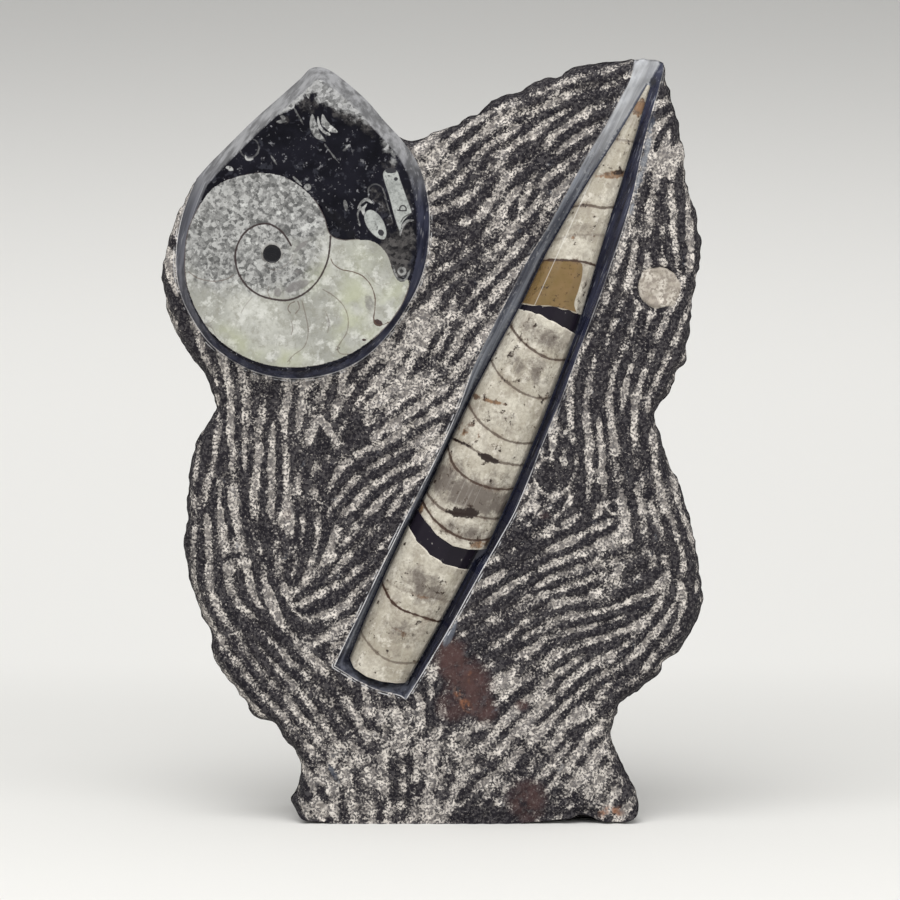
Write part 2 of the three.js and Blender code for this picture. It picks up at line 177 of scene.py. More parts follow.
def fill_outline(outline, lines, spacing, seed, zones=()):
    """Triangles over an outline, with edges along every line. Each zone is a loop with its own
    spacing. Returns points, triangles and the index of each outline point."""
    fixed = [outline] + list(lines)
    starts = np.cumsum([0] + [len(f) for f in fixed])
    edges = [(i, i + 1) for i in range(len(outline) - 1)] + [(len(outline) - 1, 0)]
    for start, line in zip(starts[1:], lines):
        edges += [(start + i, start + i + 1) for i in range(len(line) - 1)]
    held = np.vstack(fixed)
    tree = KDTree(len(held))
    for i, (x, z) in enumerate(held):
        tree.insert((x, z, 0), i)
    tree.balance()
    random = np.random.default_rng(seed)
    cloud = [held]
    loops = [loop for loop, _ in zones]
    for own, (area, pitch) in enumerate([(outline, spacing), *zones]):
        low, high = area.min(0), area.max(0)
        grid_x, grid_z = np.meshgrid(
            np.arange(low[0], high[0], pitch), np.arange(low[1], high[1], pitch * 0.866))
        grid_x[1::2] += pitch / 2
        loose = np.column_stack([grid_x.ravel(), grid_z.ravel()])
        loose += random.normal(0, pitch * 0.09, loose.shape)
        loose = loose[inside(loose, area)]
        for later in loops[own:]:
            loose = loose[~inside(loose, later)]
        free = np.array([tree.find((x, z, 0))[2] for x, z in loose]) > pitch * 0.5
        cloud.append(loose[free])
    cloud = np.vstack(cloud)
    made = delaunay_2d_cdt([Vector(p) for p in cloud.tolist()], edges, [], 0, 1e-7, True)
    points = np.array([tuple(v) for v in made[0]])
    triangles = np.array(made[2])
    triangles = triangles[inside(points[triangles].mean(1), outline)]
    a, b, c = (points[triangles[:, k]] for k in range(3))
    turned = np.cross(b - a, c - a) < 0
    triangles[turned] = triangles[turned][:, ::-1]
    new_index = {}
    for i, sources in enumerate(made[3]):
        for source in sources:
            new_index[source] = i
    return points, triangles, np.array([new_index[i] for i in range(len(outline))])


def make_piece(name, corners, faces, layers=None, material_index=None, sharp=None):
    """A mesh object from corners in millimetres, with one number a corner for each named layer."""
    mesh = bpy.data.meshes.new(name)
    sizes = np.array([len(f) for f in faces])
    flat = np.concatenate(faces) if len(set(sizes)) > 1 else np.array(faces).ravel()
    mesh.vertices.add(len(corners))
    mesh.vertices.foreach_set("co", (np.asarray(corners) * 0.001).astype(np.float32).ravel())
    mesh.loops.add(len(flat))
    mesh.loops.foreach_set("vertex_index", flat.astype(np.int32))
    mesh.polygons.add(len(sizes))
    mesh.polygons.foreach_set("loop_start", np.concatenate([[0], np.cumsum(sizes)[:-1]]).astype(np.int32))
    mesh.polygons.foreach_set("loop_total", sizes.astype(np.int32))
    if material_index is not None:
        mesh.polygons.foreach_set("material_index", material_index.astype(np.int32))
    mesh.update(calc_edges=True)
    mesh.validate()
    mesh.polygons.foreach_set("use_smooth", np.ones(len(mesh.polygons), bool))
    for layer, values in (layers or {}).items():
        mesh.attributes.new(layer, "FLOAT", "POINT").data.foreach_set("value", values.astype(np.float32))
    if sharp is not None:
        ends = np.empty(len(mesh.edges) * 2, np.int32)
        mesh.edges.foreach_get("vertices", ends)
        ends = ends.reshape(-1, 2)
        creased = (sharp[ends[:, 0]] > 0) & (sharp[ends[:, 0]] == sharp[ends[:, 1]])
        mesh.attributes.new("sharp_edge", "BOOLEAN", "EDGE").data.foreach_set("value", creased)
    piece = bpy.data.objects.new(name, mesh)
    bpy.context.scene.collection.objects.link(piece)
    return piece


FINE = 0.9
boss_crown = smooth_path(BOSS_CROWN, FINE)
boss_foot = smooth_path([BOSS_CROWN[-1]] + BOSS_FOOT + [BOSS_CROWN[0]], FINE)
rock_edge = smooth_path([BOSS_CROWN[-1]] + ROCK_EDGE + [BOSS_CROWN[0]], 1.1)
boss_outline = np.vstack([boss_crown[:-1], boss_foot[:-1]])


def chip_edge(path, depth):
    """The same path with small chips out of it, but none at its ends or along the foot."""
    along = np.gradient(path, axis=0)
    along /= np.hypot(*along.T)[:, None]
    inward = np.column_stack([along[:, 1], -along[:, 0]])
    chips = 1.3 * mottle(6, path, 4.3) + 1.0 * mottle(7, path, 2.1) - 1.1
    rank = np.arange(len(path))
    chips *= ease(np.minimum(rank, rank[::-1]), 2, 9) * ease(path[:, 1], 3, 9)
    chipped = path + inward * (depth * chips)[:, None]
    return np.maximum(chipped, (-999, 0))


def inset_path(outline, distance):
    """A closed path moved inwards by the distance given for each of its points."""
    along = np.roll(outline, -1, axis=0) - np.roll(outline, 1, axis=0)
    along /= np.hypot(*along.T)[:, None]
    inward = np.column_stack([along[:, 1], -along[:, 0]])
    moved = outline + inward * distance[:, None]
    clear = distance_to(moved, outline, closed=True)[0] > distance - 0.06
    return moved[clear]


rock_edge = chip_edge(rock_edge, 0.85)
slab_outline = np.vstack([boss_crown[:-1], rock_edge[:-1]])

# The trough is ground round the long shell, so it takes its floor from the shell's own shape:
# distance from the tip, width, and how far the middle lies to the right of the shell's line.
SHELL_TIP = np.array([84.5, 290.0])
SHELL_LEAN = math.radians(65.6)
SHELL_LEAN_TURN = math.pi / 2 - SHELL_LEAN
DOWN = -np.array([math.cos(SHELL_LEAN), math.sin(SHELL_LEAN)])
ACROSS = np.array([math.sin(SHELL_LEAN), -math.cos(SHELL_LEAN)])
UPPER_SHELL = [
    (0, 1.2, 0), (12, 4, 0.3), (25, 7.2, 0.5), (39, 11.2, 0.4), (54, 15, 0.3), (76, 20.2, 0.8),
    (97, 23.8, 2.1), (117, 26.6, 2), (137, 29.2, 2), (160, 30.4, 2.1), (198, 31, 2),
]
BASE_SHELL = [(190, 30, 0.4), (211, 28.8, -0.4), (235, 26.8, -1.2), (258, 24.2, -1.6)]
SHELL_END = [(254, -13.2), (255.8, -10.8), (256.5, -5), (255.8, 1.3), (254.2, 7.2), (251, 10.8)]
CREST_SHARE = 0.38


def on_line(distance, across):
    """A place on the face from the distance down the shell's line and across it."""
    return SHELL_TIP + np.outer(distance, DOWN) + np.outer(across, ACROSS)


def shell_size(distance, stations):
    """Width of the long shell and the place of its middle, at a distance from the tip."""
    d, width, middle = np.array(stations, float).T
    return np.interp(distance, d, width), np.interp(distance, d, middle)


def floor_y(distance):
    """Depth of the trough's floor, which deepens as the shell widens."""
    width = shell_size(distance, UPPER_SHELL)[0]
    return FACE_Y + 3.5 + 3.5 * np.minimum(width / 30, 1)


def keep_clear(path, other, gap):
    """The points of a path that are at least a gap away from another path."""
    return path[distance_to(path, other, closed=True)[0] > gap]


BASE_FROM = 196
trough_left = smooth_path(TROUGH_LEFT, 1.0)
trough_right = smooth_path(TROUGH_RIGHT, 1.0)
trough_path = np.vstack([trough_left, smooth_path(TROUGH_END, 1.0), trough_right])
trough_loop = np.vstack([[(80, 308)], trough_path, [(91, 306)]])
floor_at = np.concatenate([np.arange(0.5, 194, 1.5), np.arange(198, 254, 1.5)])
floor_width, floor_middle = np.where(
    floor_at < BASE_FROM, shell_size(floor_at, UPPER_SHELL), shell_size(floor_at, BASE_SHELL))
floor_left = on_line(floor_at, floor_middle - floor_width / 2 - 0.5)
floor_right = on_line(floor_at, floor_middle + floor_width / 2 + 0.5)
floor_end = smooth_path(on_line(*np.array([(d + 0.4, t) for d, t in SHELL_END]).T), 1.0)
floor_loop = np.vstack([floor_left, floor_end, floor_right[::-1]])

bevel_width = 3 + 2.5 * ease(boss_outline[:, 1], 195, 250)
facet_loop = smooth_path(inset_path(boss_outline, bevel_width)[::2], 1.0, closed=True)

# Rows struck with a point chisel, each as the places it runs through. The stone is bruised
# pale along them, and darker ridges stand between them.
CHISEL_ROWS = [
    # right lower lobe
    [(28, 92), (33, 96), (38, 99)],
    [(40, 93), (46, 97), (52, 99.4), (58, 100.4)],
    [(62, 92), (68, 92.8), (73.6, 95.4), (80, 98.6), (86, 102)],
    [(70.6, 103.6), (73, 100.6), (75.4, 97)],
    [(33, 85), (38, 88.6), (44, 91)],
    [(46, 86), (53, 88.4), (61, 89)],
    [(53.4, 82), (61, 82.6), (69, 84.4), (76, 87.6), (83, 90.4), (88.4, 93)],
    [(57, 71), (66, 73.6), (74, 75.8), (80.4, 79), (85.6, 82.8), (89, 87), (90, 92)],
    [(79, 74.8), (83.4, 79)],
    [(91.6, 98.4), (96.8, 94.6), (98.6, 89), (97, 82.6), (95, 76.4), (90, 70.4), (86.4, 65), (82, 58.6)],
    [(11, 74), (16, 77), (21, 79.4), (27, 81.6)],
    [(18, 67), (24, 70.4), (29, 73), (32.6, 76.4)],
    [(33, 66), (38, 68.6), (43, 72), (48.6, 75.4)],
    [(43, 60), (46, 65), (51, 68.4), (57, 71.4)],
    [(49.8, 52), (54, 57), (60.4, 61.6), (66, 65), (71, 67)],
    [(56.8, 51), (63.6, 57), (69.2, 60.2), (74.4, 62)],
    [(64.8, 51), (70.6, 56), (76, 58)],
    [(72.4, 52.6), (79, 56), (84, 58.6)],
    [(57, 41), (62, 46), (67, 49.4)],
    [(50, 38), (55, 43), (60.4, 48)],
    [(32, 100), (38, 104), (44, 107), (50, 109.6), (57, 113), (64, 117), (70, 119)],
    [(85, 127), (88.6, 118), (91, 110)],
    [(98, 109), (98.6, 101)],
    # right foot
    [(30, 34), (36, 40), (42, 44.6)],
    [(37, 21), (43, 27), (49, 33)],
    [(51, 21), (56, 27), (59.6, 32)],
    [(60, 20), (65, 28)],
    [(27, 50), (33, 55)],
    [(11, 35), (17, 37), (22, 40)],
    [(4, 48), (4, 38)],
    # waist and upper right
    [(64.6, 187), (61.5, 176), (60, 168), (60, 158), (61.5, 148), (60.6, 140)],
    [(74, 188), (71, 178), (69, 168), (70, 156), (71.5, 146), (72, 137)],
    [(87, 188), (82, 176), (79, 166), (79, 154), (80.4, 144), (81, 134)],
    [(93, 185), (88, 176), (84, 168)],
    [(80, 131), (83, 122)],
    [(46, 158), (52, 154), (56, 150)],
    [(52, 146), (51, 138), (49, 131)],
    [(43, 147), (41, 138)],
    [(87, 250), (85, 244), (84.6, 236), (84.6, 228)],
    [(92.5, 250), (94, 240), (94, 230), (95.6, 221)],
    [(79, 248), (77, 239), (76, 232)],
    [(78, 219), (75, 210), (72, 202)],
    [(80.5, 206), (79, 198), (76, 190), (74, 184)],
    [(85, 200), (82, 191), (79, 184)],
    [(91, 198), (87, 190), (84, 184)],
    [(70, 214), (67, 205), (64, 196)],
    # top, between the boss and the trough
    [(36, 278.5), (42, 280.5), (50, 284), (56, 287.5), (62, 289), (68, 288.6)],
    [(8, 262), (12, 265.5), (18, 270), (24, 274.6), (30, 277.6), (37, 278.6)],
    [(33, 256.5), (38, 259.6), (43, 264), (47, 270), (53, 274.6), (60, 279), (66, 281.5)],
    [(24, 262.6), (30, 265.6), (36, 268.6), (41, 271)],
    [(42, 251), (47, 255.6), (53, 260.8), (59, 264), (64, 267)],
    [(17, 238), (22, 243), (25, 249), (29, 254), (33, 258)],
    [(34, 242), (37, 248), (39, 254)],
    [(24, 223), (28, 229.6), (32, 236)],
    [(40, 232), (43, 238), (46, 243)],
    [(31, 216), (37, 221.6)],
    [(-1, 250), (5, 256), (9, 259)],
    [(0, 241), (5, 241.6)],
    [(0, 234.4), (6, 233)],
    [(0, 229), (5, 228.4)],
    [(0, 223.4), (6, 225.6), (10, 227.6)],
    [(17, 257), (18, 250)],
    [(10, 215), (16, 220)],
    [(8, 207), (13, 213)],
    [(7, 199), (8.5, 205)],
    [(11, 193), (16, 199), (19, 205)],
    # left lobe
    [(-89, 183), (-84, 173)],
    [(-83.5, 161), (-84.5, 152), (-85.6, 143), (-88.6, 134), (-89, 126)],
    [(-79, 167), (-79, 155), (-78, 146), (-78.6, 136), (-78.4, 126), (-76.4, 117)],
    [(-65, 171), (-66.5, 162), (-69, 153), (-67.4, 147), (-69, 140), (-69.6, 132)],
    [(-57, 170), (-58, 160), (-57.5, 148), (-57, 138), (-56.8, 126), (-55, 114)],
    [(-44, 164), (-47, 157), (-50.5, 147)],
    [(-44.6, 161), (-41, 156), (-38, 151)],
    [(-38.5, 149), (-43, 143), (-48, 137)],
    [(-46.5, 131), (-45, 122), (-45, 114), (-46.4, 107)],
    [(-53, 141), (-53, 131)],
    [(-38, 150), (-33, 152), (-27, 156), (-22, 160)],
    [(-30, 146), (-24, 148), (-19, 149)],
    [(-14, 146), (-8, 150), (-3, 153)],
    [(-37, 121), (-30, 127), (-24, 133), (-17, 138), (-10, 141)],
    [(-21, 116), (-17, 122), (-13, 129)],
    [(-34, 96), (-29, 101), (-24, 106), (-20, 110)],
    [(-50, 88), (-44, 91), (-38, 94.4)],
    [(-43, 82), (-38, 84), (-33, 87)],
    [(-49, 70), (-43, 73), (-37, 77)],
    [(-87, 107), (-88, 98), (-86.4, 88)],
    [(-65.5, 92), (-62, 85), (-58.5, 78)],
    [(-77, 87), (-71, 82), (-66, 75), (-60, 69), (-55, 62)],
    [(-84, 84), (-79, 78), (-75.6, 74)],
    [(-75, 71.4), (-70, 64), (-67, 60)],
    [(-70, 55), (-63, 56), (-58, 50), (-53, 44), (-48, 38), (-45, 34)],
    [(-76, 62), (-72, 57), (-66, 50), (-59, 43), (-52, 35), (-46, 26), (-41, 18)],
    [(-50, 60), (-46, 53), (-40, 46), (-34, 39), (-31, 35)],
    # under the long shell
    [(-15, 47), (-13, 41), (-10, 35), (-12, 27)],
    [(-6, 50), (-3.6, 43), (-6, 36)],
    [(-26, 50), (-25, 43)],
    [(-34, 24), (-33, 16)],
    [(-25, 26), (-24.5, 17)],
    [(-19, 34), (-20, 24)],
]


def chisel_fields():
    """How pale and how deep the chiselled face is at each place of a 1 mm grid: the struck rows
    above, carried on between them by more rows of the same run and pitch."""
    pitch = 6.2
    xs, zs = np.arange(-116, 117.0), np.arange(-12, 313.0)
    gx, gz = np.meshgrid(xs, zs)
    places = np.column_stack([gx.ravel(), gz.ravel()])
    nearest = np.full(len(places), 99.0)
    run = np.zeros((2, len(places)))
    for row in CHISEL_ROWS:
        path = smooth_path(row, 1.0)
        low, high = path.min(0) - 16, path.max(0) + 16
        window = np.flatnonzero(((places > low) & (places < high)).all(1))
        apart, where = distance_to(places[window], path)
        nearest[window] = np.minimum(nearest[window], apart)
        step = np.diff(path, axis=0)
        angle = np.unwrap(np.arctan2(step[:, 1], step[:, 0]))
        there = np.interp(where, np.arange(len(angle)) + 0.5, angle)
        weight = np.exp(-(apart / 6) ** 2)
        run[:, window] += weight * np.array([np.cos(2 * there), np.sin(2 * there)])
    shape = gx.shape
    size = (512, 384)
    far_x = np.minimum(np.arange(size[1]), size[1] - np.arange(size[1]))
    far_z = np.minimum(np.arange(size[0]), size[0] - np.arange(size[0]))
    blur = np.exp(-(far_z[:, None] ** 2 + far_x[None] ** 2) / (2 * 14 ** 2))
    blur_f = np.fft.rfft2(blur)
    wide = [np.fft.irfft2(np.fft.rfft2(part.reshape(shape), s=size) * blur_f, s=size)[:shape[0], :shape[1]]
            for part in run]
    near = run.reshape(2, *shape)
    flow = near + 0.004 * np.array(wide)
    heading = 0.5 * np.arctan2(flow[1], flow[0])

    signed_x = np.where(np.arange(size[1]) < size[1] / 2, np.arange(size[1]), np.arange(size[1]) - size[1])
    signed_z = np.where(np.arange(size[0]) < size[0] / 2, np.arange(size[0]), np.arange(size[0]) - size[0])
    kx, kz = np.meshgrid(signed_x, signed_z)
    headings = np.arange(16) * np.pi / 16
    filters = []
    for turn in headings:
        along = kx * math.cos(turn) + kz * math.sin(turn)
        side = -kx * math.sin(turn) + kz * math.cos(turn)
        wave = np.exp(-along ** 2 / (2 * 4.6 ** 2) - side ** 2 / (2 * 2.7 ** 2))
        wave *= np.cos(2 * np.pi * side / pitch)
        wave -= wave.sum() * blur / blur.sum()
        filters.append(np.fft.rfft2(wave / np.abs(wave).sum() * 2))
    pinned = np.cos(np.pi * np.minimum(nearest, pitch / 2) / (pitch / 2)).reshape(shape)
    hold = (1 - ease(nearest, pitch / 2 - 0.9, pitch / 2 + 0.9)).reshape(shape)
    rows = np.random.default_rng(7).normal(0, 0.6, shape)
    for _ in range(5):
        rows = rows * (1 - hold) + pinned * hold
        spectrum = np.fft.rfft2(rows, s=size)
        total = np.zeros(shape)
        for turn, wave in zip(headings, filters):
            apart = np.abs((heading - turn + np.pi / 2) % np.pi - np.pi / 2)
            share = np.clip(1 - apart / (np.pi / 16), 0, 1)
            total += share * np.fft.irfft2(spectrum * wave, s=size)[:shape[0], :shape[1]]
        rows = np.tanh(3.2 * total)
    rows = rows * (1 - hold) + (0.5 * rows + 0.5 * pinned) * hold
    return xs, zs, rows


def at_places(points, xs, zs, values):
    """Values of a 1 mm grid at loose points."""
    px = np.clip(points[:, 0] - xs[0], 0, len(xs) - 1.001)
    pz = np.clip(points[:, 1] - zs[0], 0, len(zs) - 1.001)
    i, j = px.astype(int), pz.astype(int)
    u, v = px - i, pz - j
    return (values[j, i] * (1 - u) * (1 - v) + values[j, i + 1] * u * (1 - v)
            + values[j + 1, i] * (1 - u) * v + values[j + 1, i + 1] * u * v)


def face_relief(points, rows):
    """Height of the struck face: rows cut in, ridges left between, and pecked all over."""
    lumps = mottle(3, points, 4.5) - 0.5
    pecks = mottle(4, points, 1.9) - 0.5
    return 0.55 * rows + 0.8 * lumps + 0.45 * pecks


# Where the rock was pecked all over, with no rows.
BLOTCHY_PATCHES = [
    (-10, 22, 48, 26, 0, 1.0), (30, 14, 40, 18, 0, 0.8), (-26, 168, 22, 14, 0, 0.6),
    (10, 215, 12, 24, 15, 0.6), (40, 122, 16, 14, 0, 0.8), (16, 58, 12, 18, 0, 0.8),
    (-66, 108, 14, 10, 0, 0.6), (-10, 180, 14, 20, -30, 0.5),
]


def patch_layer(points, patches, soft=0.55):
    """Soft oval patches, each (x, z, half length, half height, lean in degrees, strength)."""
    total = np.zeros(len(points))
    for x, z, long, short, lean, strength in patches:
        turn = math.radians(lean)
        moved = points - (x, z)
        along = (moved[:, 0] * math.cos(turn) + moved[:, 1] * math.sin(turn)) / long
        over = (moved[:, 1] * math.cos(turn) - moved[:, 0] * math.sin(turn)) / short
        total = np.maximum(total, strength * (1 - ease(np.hypot(along, over), soft, 2 - soft)))
    return total


def ring_of(x, z, radius):
    """A small closed ring."""
    turn = np.linspace(0, 2 * math.pi, 13)
    return [(x + radius * math.cos(a), z + radius * math.sin(a)) for a in turn]


# What shows in the polished face of the boss. Pale bits: half width, how bright, and where.
FRAGMENTS = [
    (1.2, 0.62, [(-46.6, 278), (-46.2, 273.6), (-44.6, 270), (-41.6, 267.6)]),
    (1.0, 1.0, [(-42.6, 278), (-41.8, 275), (-40, 272.8), (-37, 271.2)]),
    (0.25, 0.8, [(-44.4, 277), (-44, 274), (-42.2, 271.4), (-39.8, 270)]),
    (0.6, 0.9, [(-48.6, 288.6), (-48, 284.2)]),
    (0.9, 1.0, [(-34.6, 286), (-31, 285)]),
    (0.5, 1.0, [(-33.2, 284.4), (-34.8, 281.4)]),
    (0.3, 0.9, [(-72.6, 262.2), (-72, 260.8), (-70.6, 260.4), (-69.6, 260.8)]),
    (0.1, 0.2, ring_of(-71, 265, 3.8)),
    (0.5, 0.55, [(-59.8, 277.6), (-57, 276.4)]),
    (0.35, 0.5, [(-60.4, 275), (-56.4, 275.2)]),
    (0.1, 0.35, [(-41.8, 266.4), (-39, 262.6), (-36.2, 259.2)]),
    (0.1, 0.25, [(-54, 281), (-50, 274)]),
    (0.3, 0.8, [(-54, 253.8), (-50.8, 250.6)]),
    (0.25, 0.7, ring_of(-48.4, 249.8, 0.9)),
    (0.3, 0.8, [(-29, 241.6), (-27.6, 243.8), (-25.6, 245), (-23.4, 243.8)]),
    (0.2, 0.6, [(-28.2, 235), (-29, 239.4), (-27.8, 242.2)]),
    (0.45, 1.0, [(-26.2, 238.4), (-27, 241), (-25.6, 243.2)]),
    (0.5, 0.55, [(-34, 244.8), (-33.4, 240.6)]),
    (0.2, 0.5, [(-32, 266.4), (-34.5, 264)]),
    (0.2, 0.5, [(-62.6, 262), (-60.4, 258.6)]),
    (0.12, 0.2, [(-24.8, 246), (-24.6, 249.6), (-22, 251), (-19.6, 249.6), (-17.8, 244), (-15.4, 236)]),
    (0.3, 0.6, ring_of(-11.9, 217.2, 1.3)),
    (0.3, 0.4, [(-15.4, 219.6), (-13.4, 214.4), (-10.8, 213.8), (-8.4, 218.2)]),
    (0.35, 0.6, [(-12.6, 231), (-12, 234), (-9.8, 236.6), (-6.8, 237)]),
    (0.7, 0.8, [(-81.6, 256), (-79.8, 257.4), (-77.4, 256.4)]),
]
# Grey translucent calcite towards the point, and the dark grey mottled stone at the right.
MILKY_PATCHES = [
    (-45, 291.5, 11, 6, 0, 1.0), (-34, 285.6, 13, 6.4, -40, 1.0), (-55, 284.6, 9, 3.6, 42, 1.0),
    (-26, 278.6, 8, 3.6, -45, 0.85), (-40, 284.6, 7, 4, -20, 0.8), (-17, 264, 3, 9, 28, 0.5),
]
GREY_PATCHES = [
    (-33, 280, 9, 5, -30, 0.8), (-26, 276, 8, 4, -42, 0.8), (-48, 282, 5, 4, 0, 0.5),
    (-22.4, 247, 3, 3.8, 0, 0.55), (-18.6, 240, 2.2, 9, 22, 0.5), (-14.5, 224, 6, 8, 0, 1.0),
    (-10.4, 229, 4, 7, 0, 0.9), (-12.6, 218.4, 4, 3.6, 0, 0.8), (-16.6, 258.4, 3.4, 2.8, 0, 0.6),
    (-9, 243, 1.6, 9, 14, 0.5), (-58.4, 276.2, 3.6, 2, 0, 0.5), (-71, 263, 3.4, 4, 0, 0.3),
]
fragment_lines = [
    (half, shown, keep_clear(smooth_path(line, 0.5), facet_loop, 0.6)) for half, shown, line in FRAGMENTS]
GONIATITE_MIDDLE = np.array([-57.0, 216.0])
GONIATITE_REACH = 31
behind_goniatite = GONIATITE_MIDDLE + GONIATITE_REACH * np.array(
    [(math.cos(a), math.sin(a)) for a in np.linspace(0, 2 * math.pi, 40, endpoint=False)])
wide = floor_width > 9
behind_shell = np.vstack([
    on_line(floor_at[wide], (floor_middle - floor_width / 2 + 2)[wide]),
    on_line(floor_at[wide], (floor_middle + floor_width / 2 - 2)[wide])[::-1]])
POLISH_MESH = 0.62
UNDER_GONIATITE_MESH = 3.0
UNDER_SHELL_MESH = 2.5
front, front_faces, rim_index = fill_outline(
    slab_outline,
    [boss_foot, facet_loop[list(range(len(facet_loop))) + [0]],
     keep_clear(trough_path, slab_outline, 0.8), keep_clear(floor_loop, slab_outline, 0.8)]
    + [line for _, _, line in fragment_lines if len(line) > 1],
    FINE, seed=11,
    zones=[(facet_loop, POLISH_MESH), (behind_goniatite, UNDER_GONIATITE_MESH),
           (behind_shell, UNDER_SHELL_MESH)])
xs, zs, row_grid = chisel_fields()
rows_here = at_places(front, xs, zs, row_grid)
blotchy = patch_layer(front, BLOTCHY_PATCHES, soft=0.2)
rows_here = rows_here * (1 - 0.65 * blotchy) + 1.5 * blotchy * (mottle(9, front, 5) - 0.5)
to_edge, _ = distance_to(front, rock_edge)
to_crown, _ = distance_to(front, boss_crown)
to_boss, _ = distance_to(front, boss_outline, closed=True)
to_facet, _ = distance_to(front, facet_loop, closed=True)
to_trough, _ = distance_to(front, trough_path)
to_floor, _ = distance_to(front, floor_loop, closed=True)
on_boss = inside(front, boss_outline) | (to_boss < 1e-4)
on_facet = inside(front, facet_loop) | (to_facet < 1e-4)
in_trough = (inside(front, trough_loop) | (to_trough < 1e-4)) & ~on_boss
on_floor = inside(front, floor_loop) | (to_floor < 1e-4)
down_shell = (front - SHELL_TIP) @ DOWN

relief = face_relief(front, rows_here)
calm = ease(np.minimum(to_boss, to_trough), 0, 2.5)
broken = (1 - ease(to_edge, 0, 5.5)) * (0.15 + 0.85 * ease(front[:, 1], 0.5, 6))
rim_drop = 6 * (1 - np.sqrt(np.clip(1 - broken ** 2, 0, 1)))
rim_lumps = 1.6 * broken * (mottle(5, front, 5.5) - 0.5)
rock_y = FACE_Y + relief * (0.35 + 0.65 * calm) * (1 - 0.5 * broken) + rim_drop + rim_lumps
boss_edge_y = FACE_Y + 0.4 + 1.1 * (1 - ease(to_crown, 0, 8))
up_bevel = to_boss / np.maximum(to_boss + to_facet, 1e-6)
bevel_y = boss_edge_y + (BOSS_Y - boss_edge_y) * np.where(on_facet, 1, up_bevel)
down_wall = np.where(on_floor, 1, to_trough / np.maximum(to_trough + to_floor, 1e-6))
wall_y = (FACE_Y + 0.5 * relief) * (1 - down_wall) + floor_y(down_shell) * down_wall
front_y = np.where(on_boss, bevel_y, np.where(in_trough, wall_y, rock_y))
# The stone is cut back behind the goniatite and the stem disc, which sit in it.
front_y += 1.2 * inside(front, behind_goniatite)
DISC_MIDDLE = np.array([88.2, 210.9])
DISC_RADIUS = 8.5
from_disc = np.hypot(*(front - DISC_MIDDLE).T)
front_y += 3.2 * (1 - ease(from_disc, DISC_RADIUS - 1.6, DISC_RADIUS - 0.2))

# The sides are broken rock and run back to the sawn back, which leans in towards the top.
SIDE_ROWS = 22
outline = front[rim_index]
outline_y = front_y[rim_index]
along = np.roll(outline, -1, axis=0) - np.roll(outline, 1, axis=0)
along /= np.hypot(*along.T)[:, None]
inward = np.column_stack([along[:, 1], -along[:, 0]])
around = np.concatenate([[0], np.cumsum(np.hypot(*np.diff(outline, axis=0).T))])
off_foot = ease(outline[:, 1], 0.5, 9)
side_points, side_y = [], []
for row in range(1, SIDE_ROWS + 1):
    share = row / SIDE_ROWS
    back_y = BACK_Y_FOOT + (BACK_Y_TOP - BACK_Y_FOOT) * outline[:, 1] / TOP_Z
    y = outline_y + (back_y - outline_y) * share
    spot = np.column_stack([around, y])
    dents = 4.6 * mottle(21, spot, 15) ** 2 + 2.2 * mottle(22, spot, 6) + 0.9 * mottle(23, spot, 2.4)
    dents *= math.sin(math.pi * min(1, share * 3) / 2)
    turn_in = 4.5 * float(ease(share, 0.86, 1.0)) ** 2
    moved = outline + inward * ((dents + turn_in) * off_foot)[:, None]
    moved[:, 1] = np.where(outline[:, 1] < 0.4, 0, np.maximum(moved[:, 1], 0))
    low = (outline[:, 1] < 4.5) & (outline[:, 1] >= 0.4)
    moved[low, 1] *= 1 - float(ease(share, 0, 0.3))
    side_points.append(moved)
    side_y.append(y)

back_outline = side_points[-1]
back, back_faces, back_index = fill_outline(back_outline, [], 3.2, seed=12)
back_y_at = BACK_Y_FOOT + (BACK_Y_TOP - BACK_Y_FOOT) * back[:, 1] / TOP_Z
count = len(outline)
plan = np.vstack([front] + side_points[:-1] + [back])
depth = np.concatenate([front_y] + side_y[:-1] + [back_y_at])
corners = np.column_stack([plan[:, 0], depth, plan[:, 1]])
rings = [rim_index] + [len(front) + k * count + np.arange(count) for k in range(SIDE_ROWS - 1)]
back_start = len(front) + (SIDE_ROWS - 1) * count
rings.append(back_start + back_index)
side_faces = []
for near_ring, far_ring in zip(rings[:-1], rings[1:]):
    next_near, next_far = np.roll(near_ring, -1), np.roll(far_ring, -1)
    side_faces.append(np.column_stack([near_ring, far_ring, next_near]))
    side_faces.append(np.column_stack([next_near, far_ring, next_far]))
side_faces = np.vstack(side_faces)
slab_faces = np.vstack([front_faces, side_faces, back_faces[:, ::-1] + back_start])

# Four finishes of the one stone, in the order in which their materials are given below.
ROUGH, POLISHED, GROUND, SAWN = range(4)
middle_of_front = front[front_faces].mean(1)
face_kind = np.zeros(len(slab_faces), int)
kind_front = np.where(inside(middle_of_front, trough_loop), GROUND, ROUGH)
kind_front[inside(middle_of_front, boss_outline)] = POLISHED
face_kind[:len(front_faces)] = kind_front
face_kind[len(front_faces) + len(side_faces):] = SAWN

whole = len(corners)
# The broken sides are pale only here and there.
side_tone = 0.08 + 1.05 * mottle(25, np.column_stack([plan[:, 0] + plan[:, 1], depth]), 9) ** 2


def front_layer(values, elsewhere=0.0):
    """A layer that is known on the face and has one value on the sides and back."""
    full = np.full(whole, float(elsewhere))
    full[:len(front)] = values
    return full


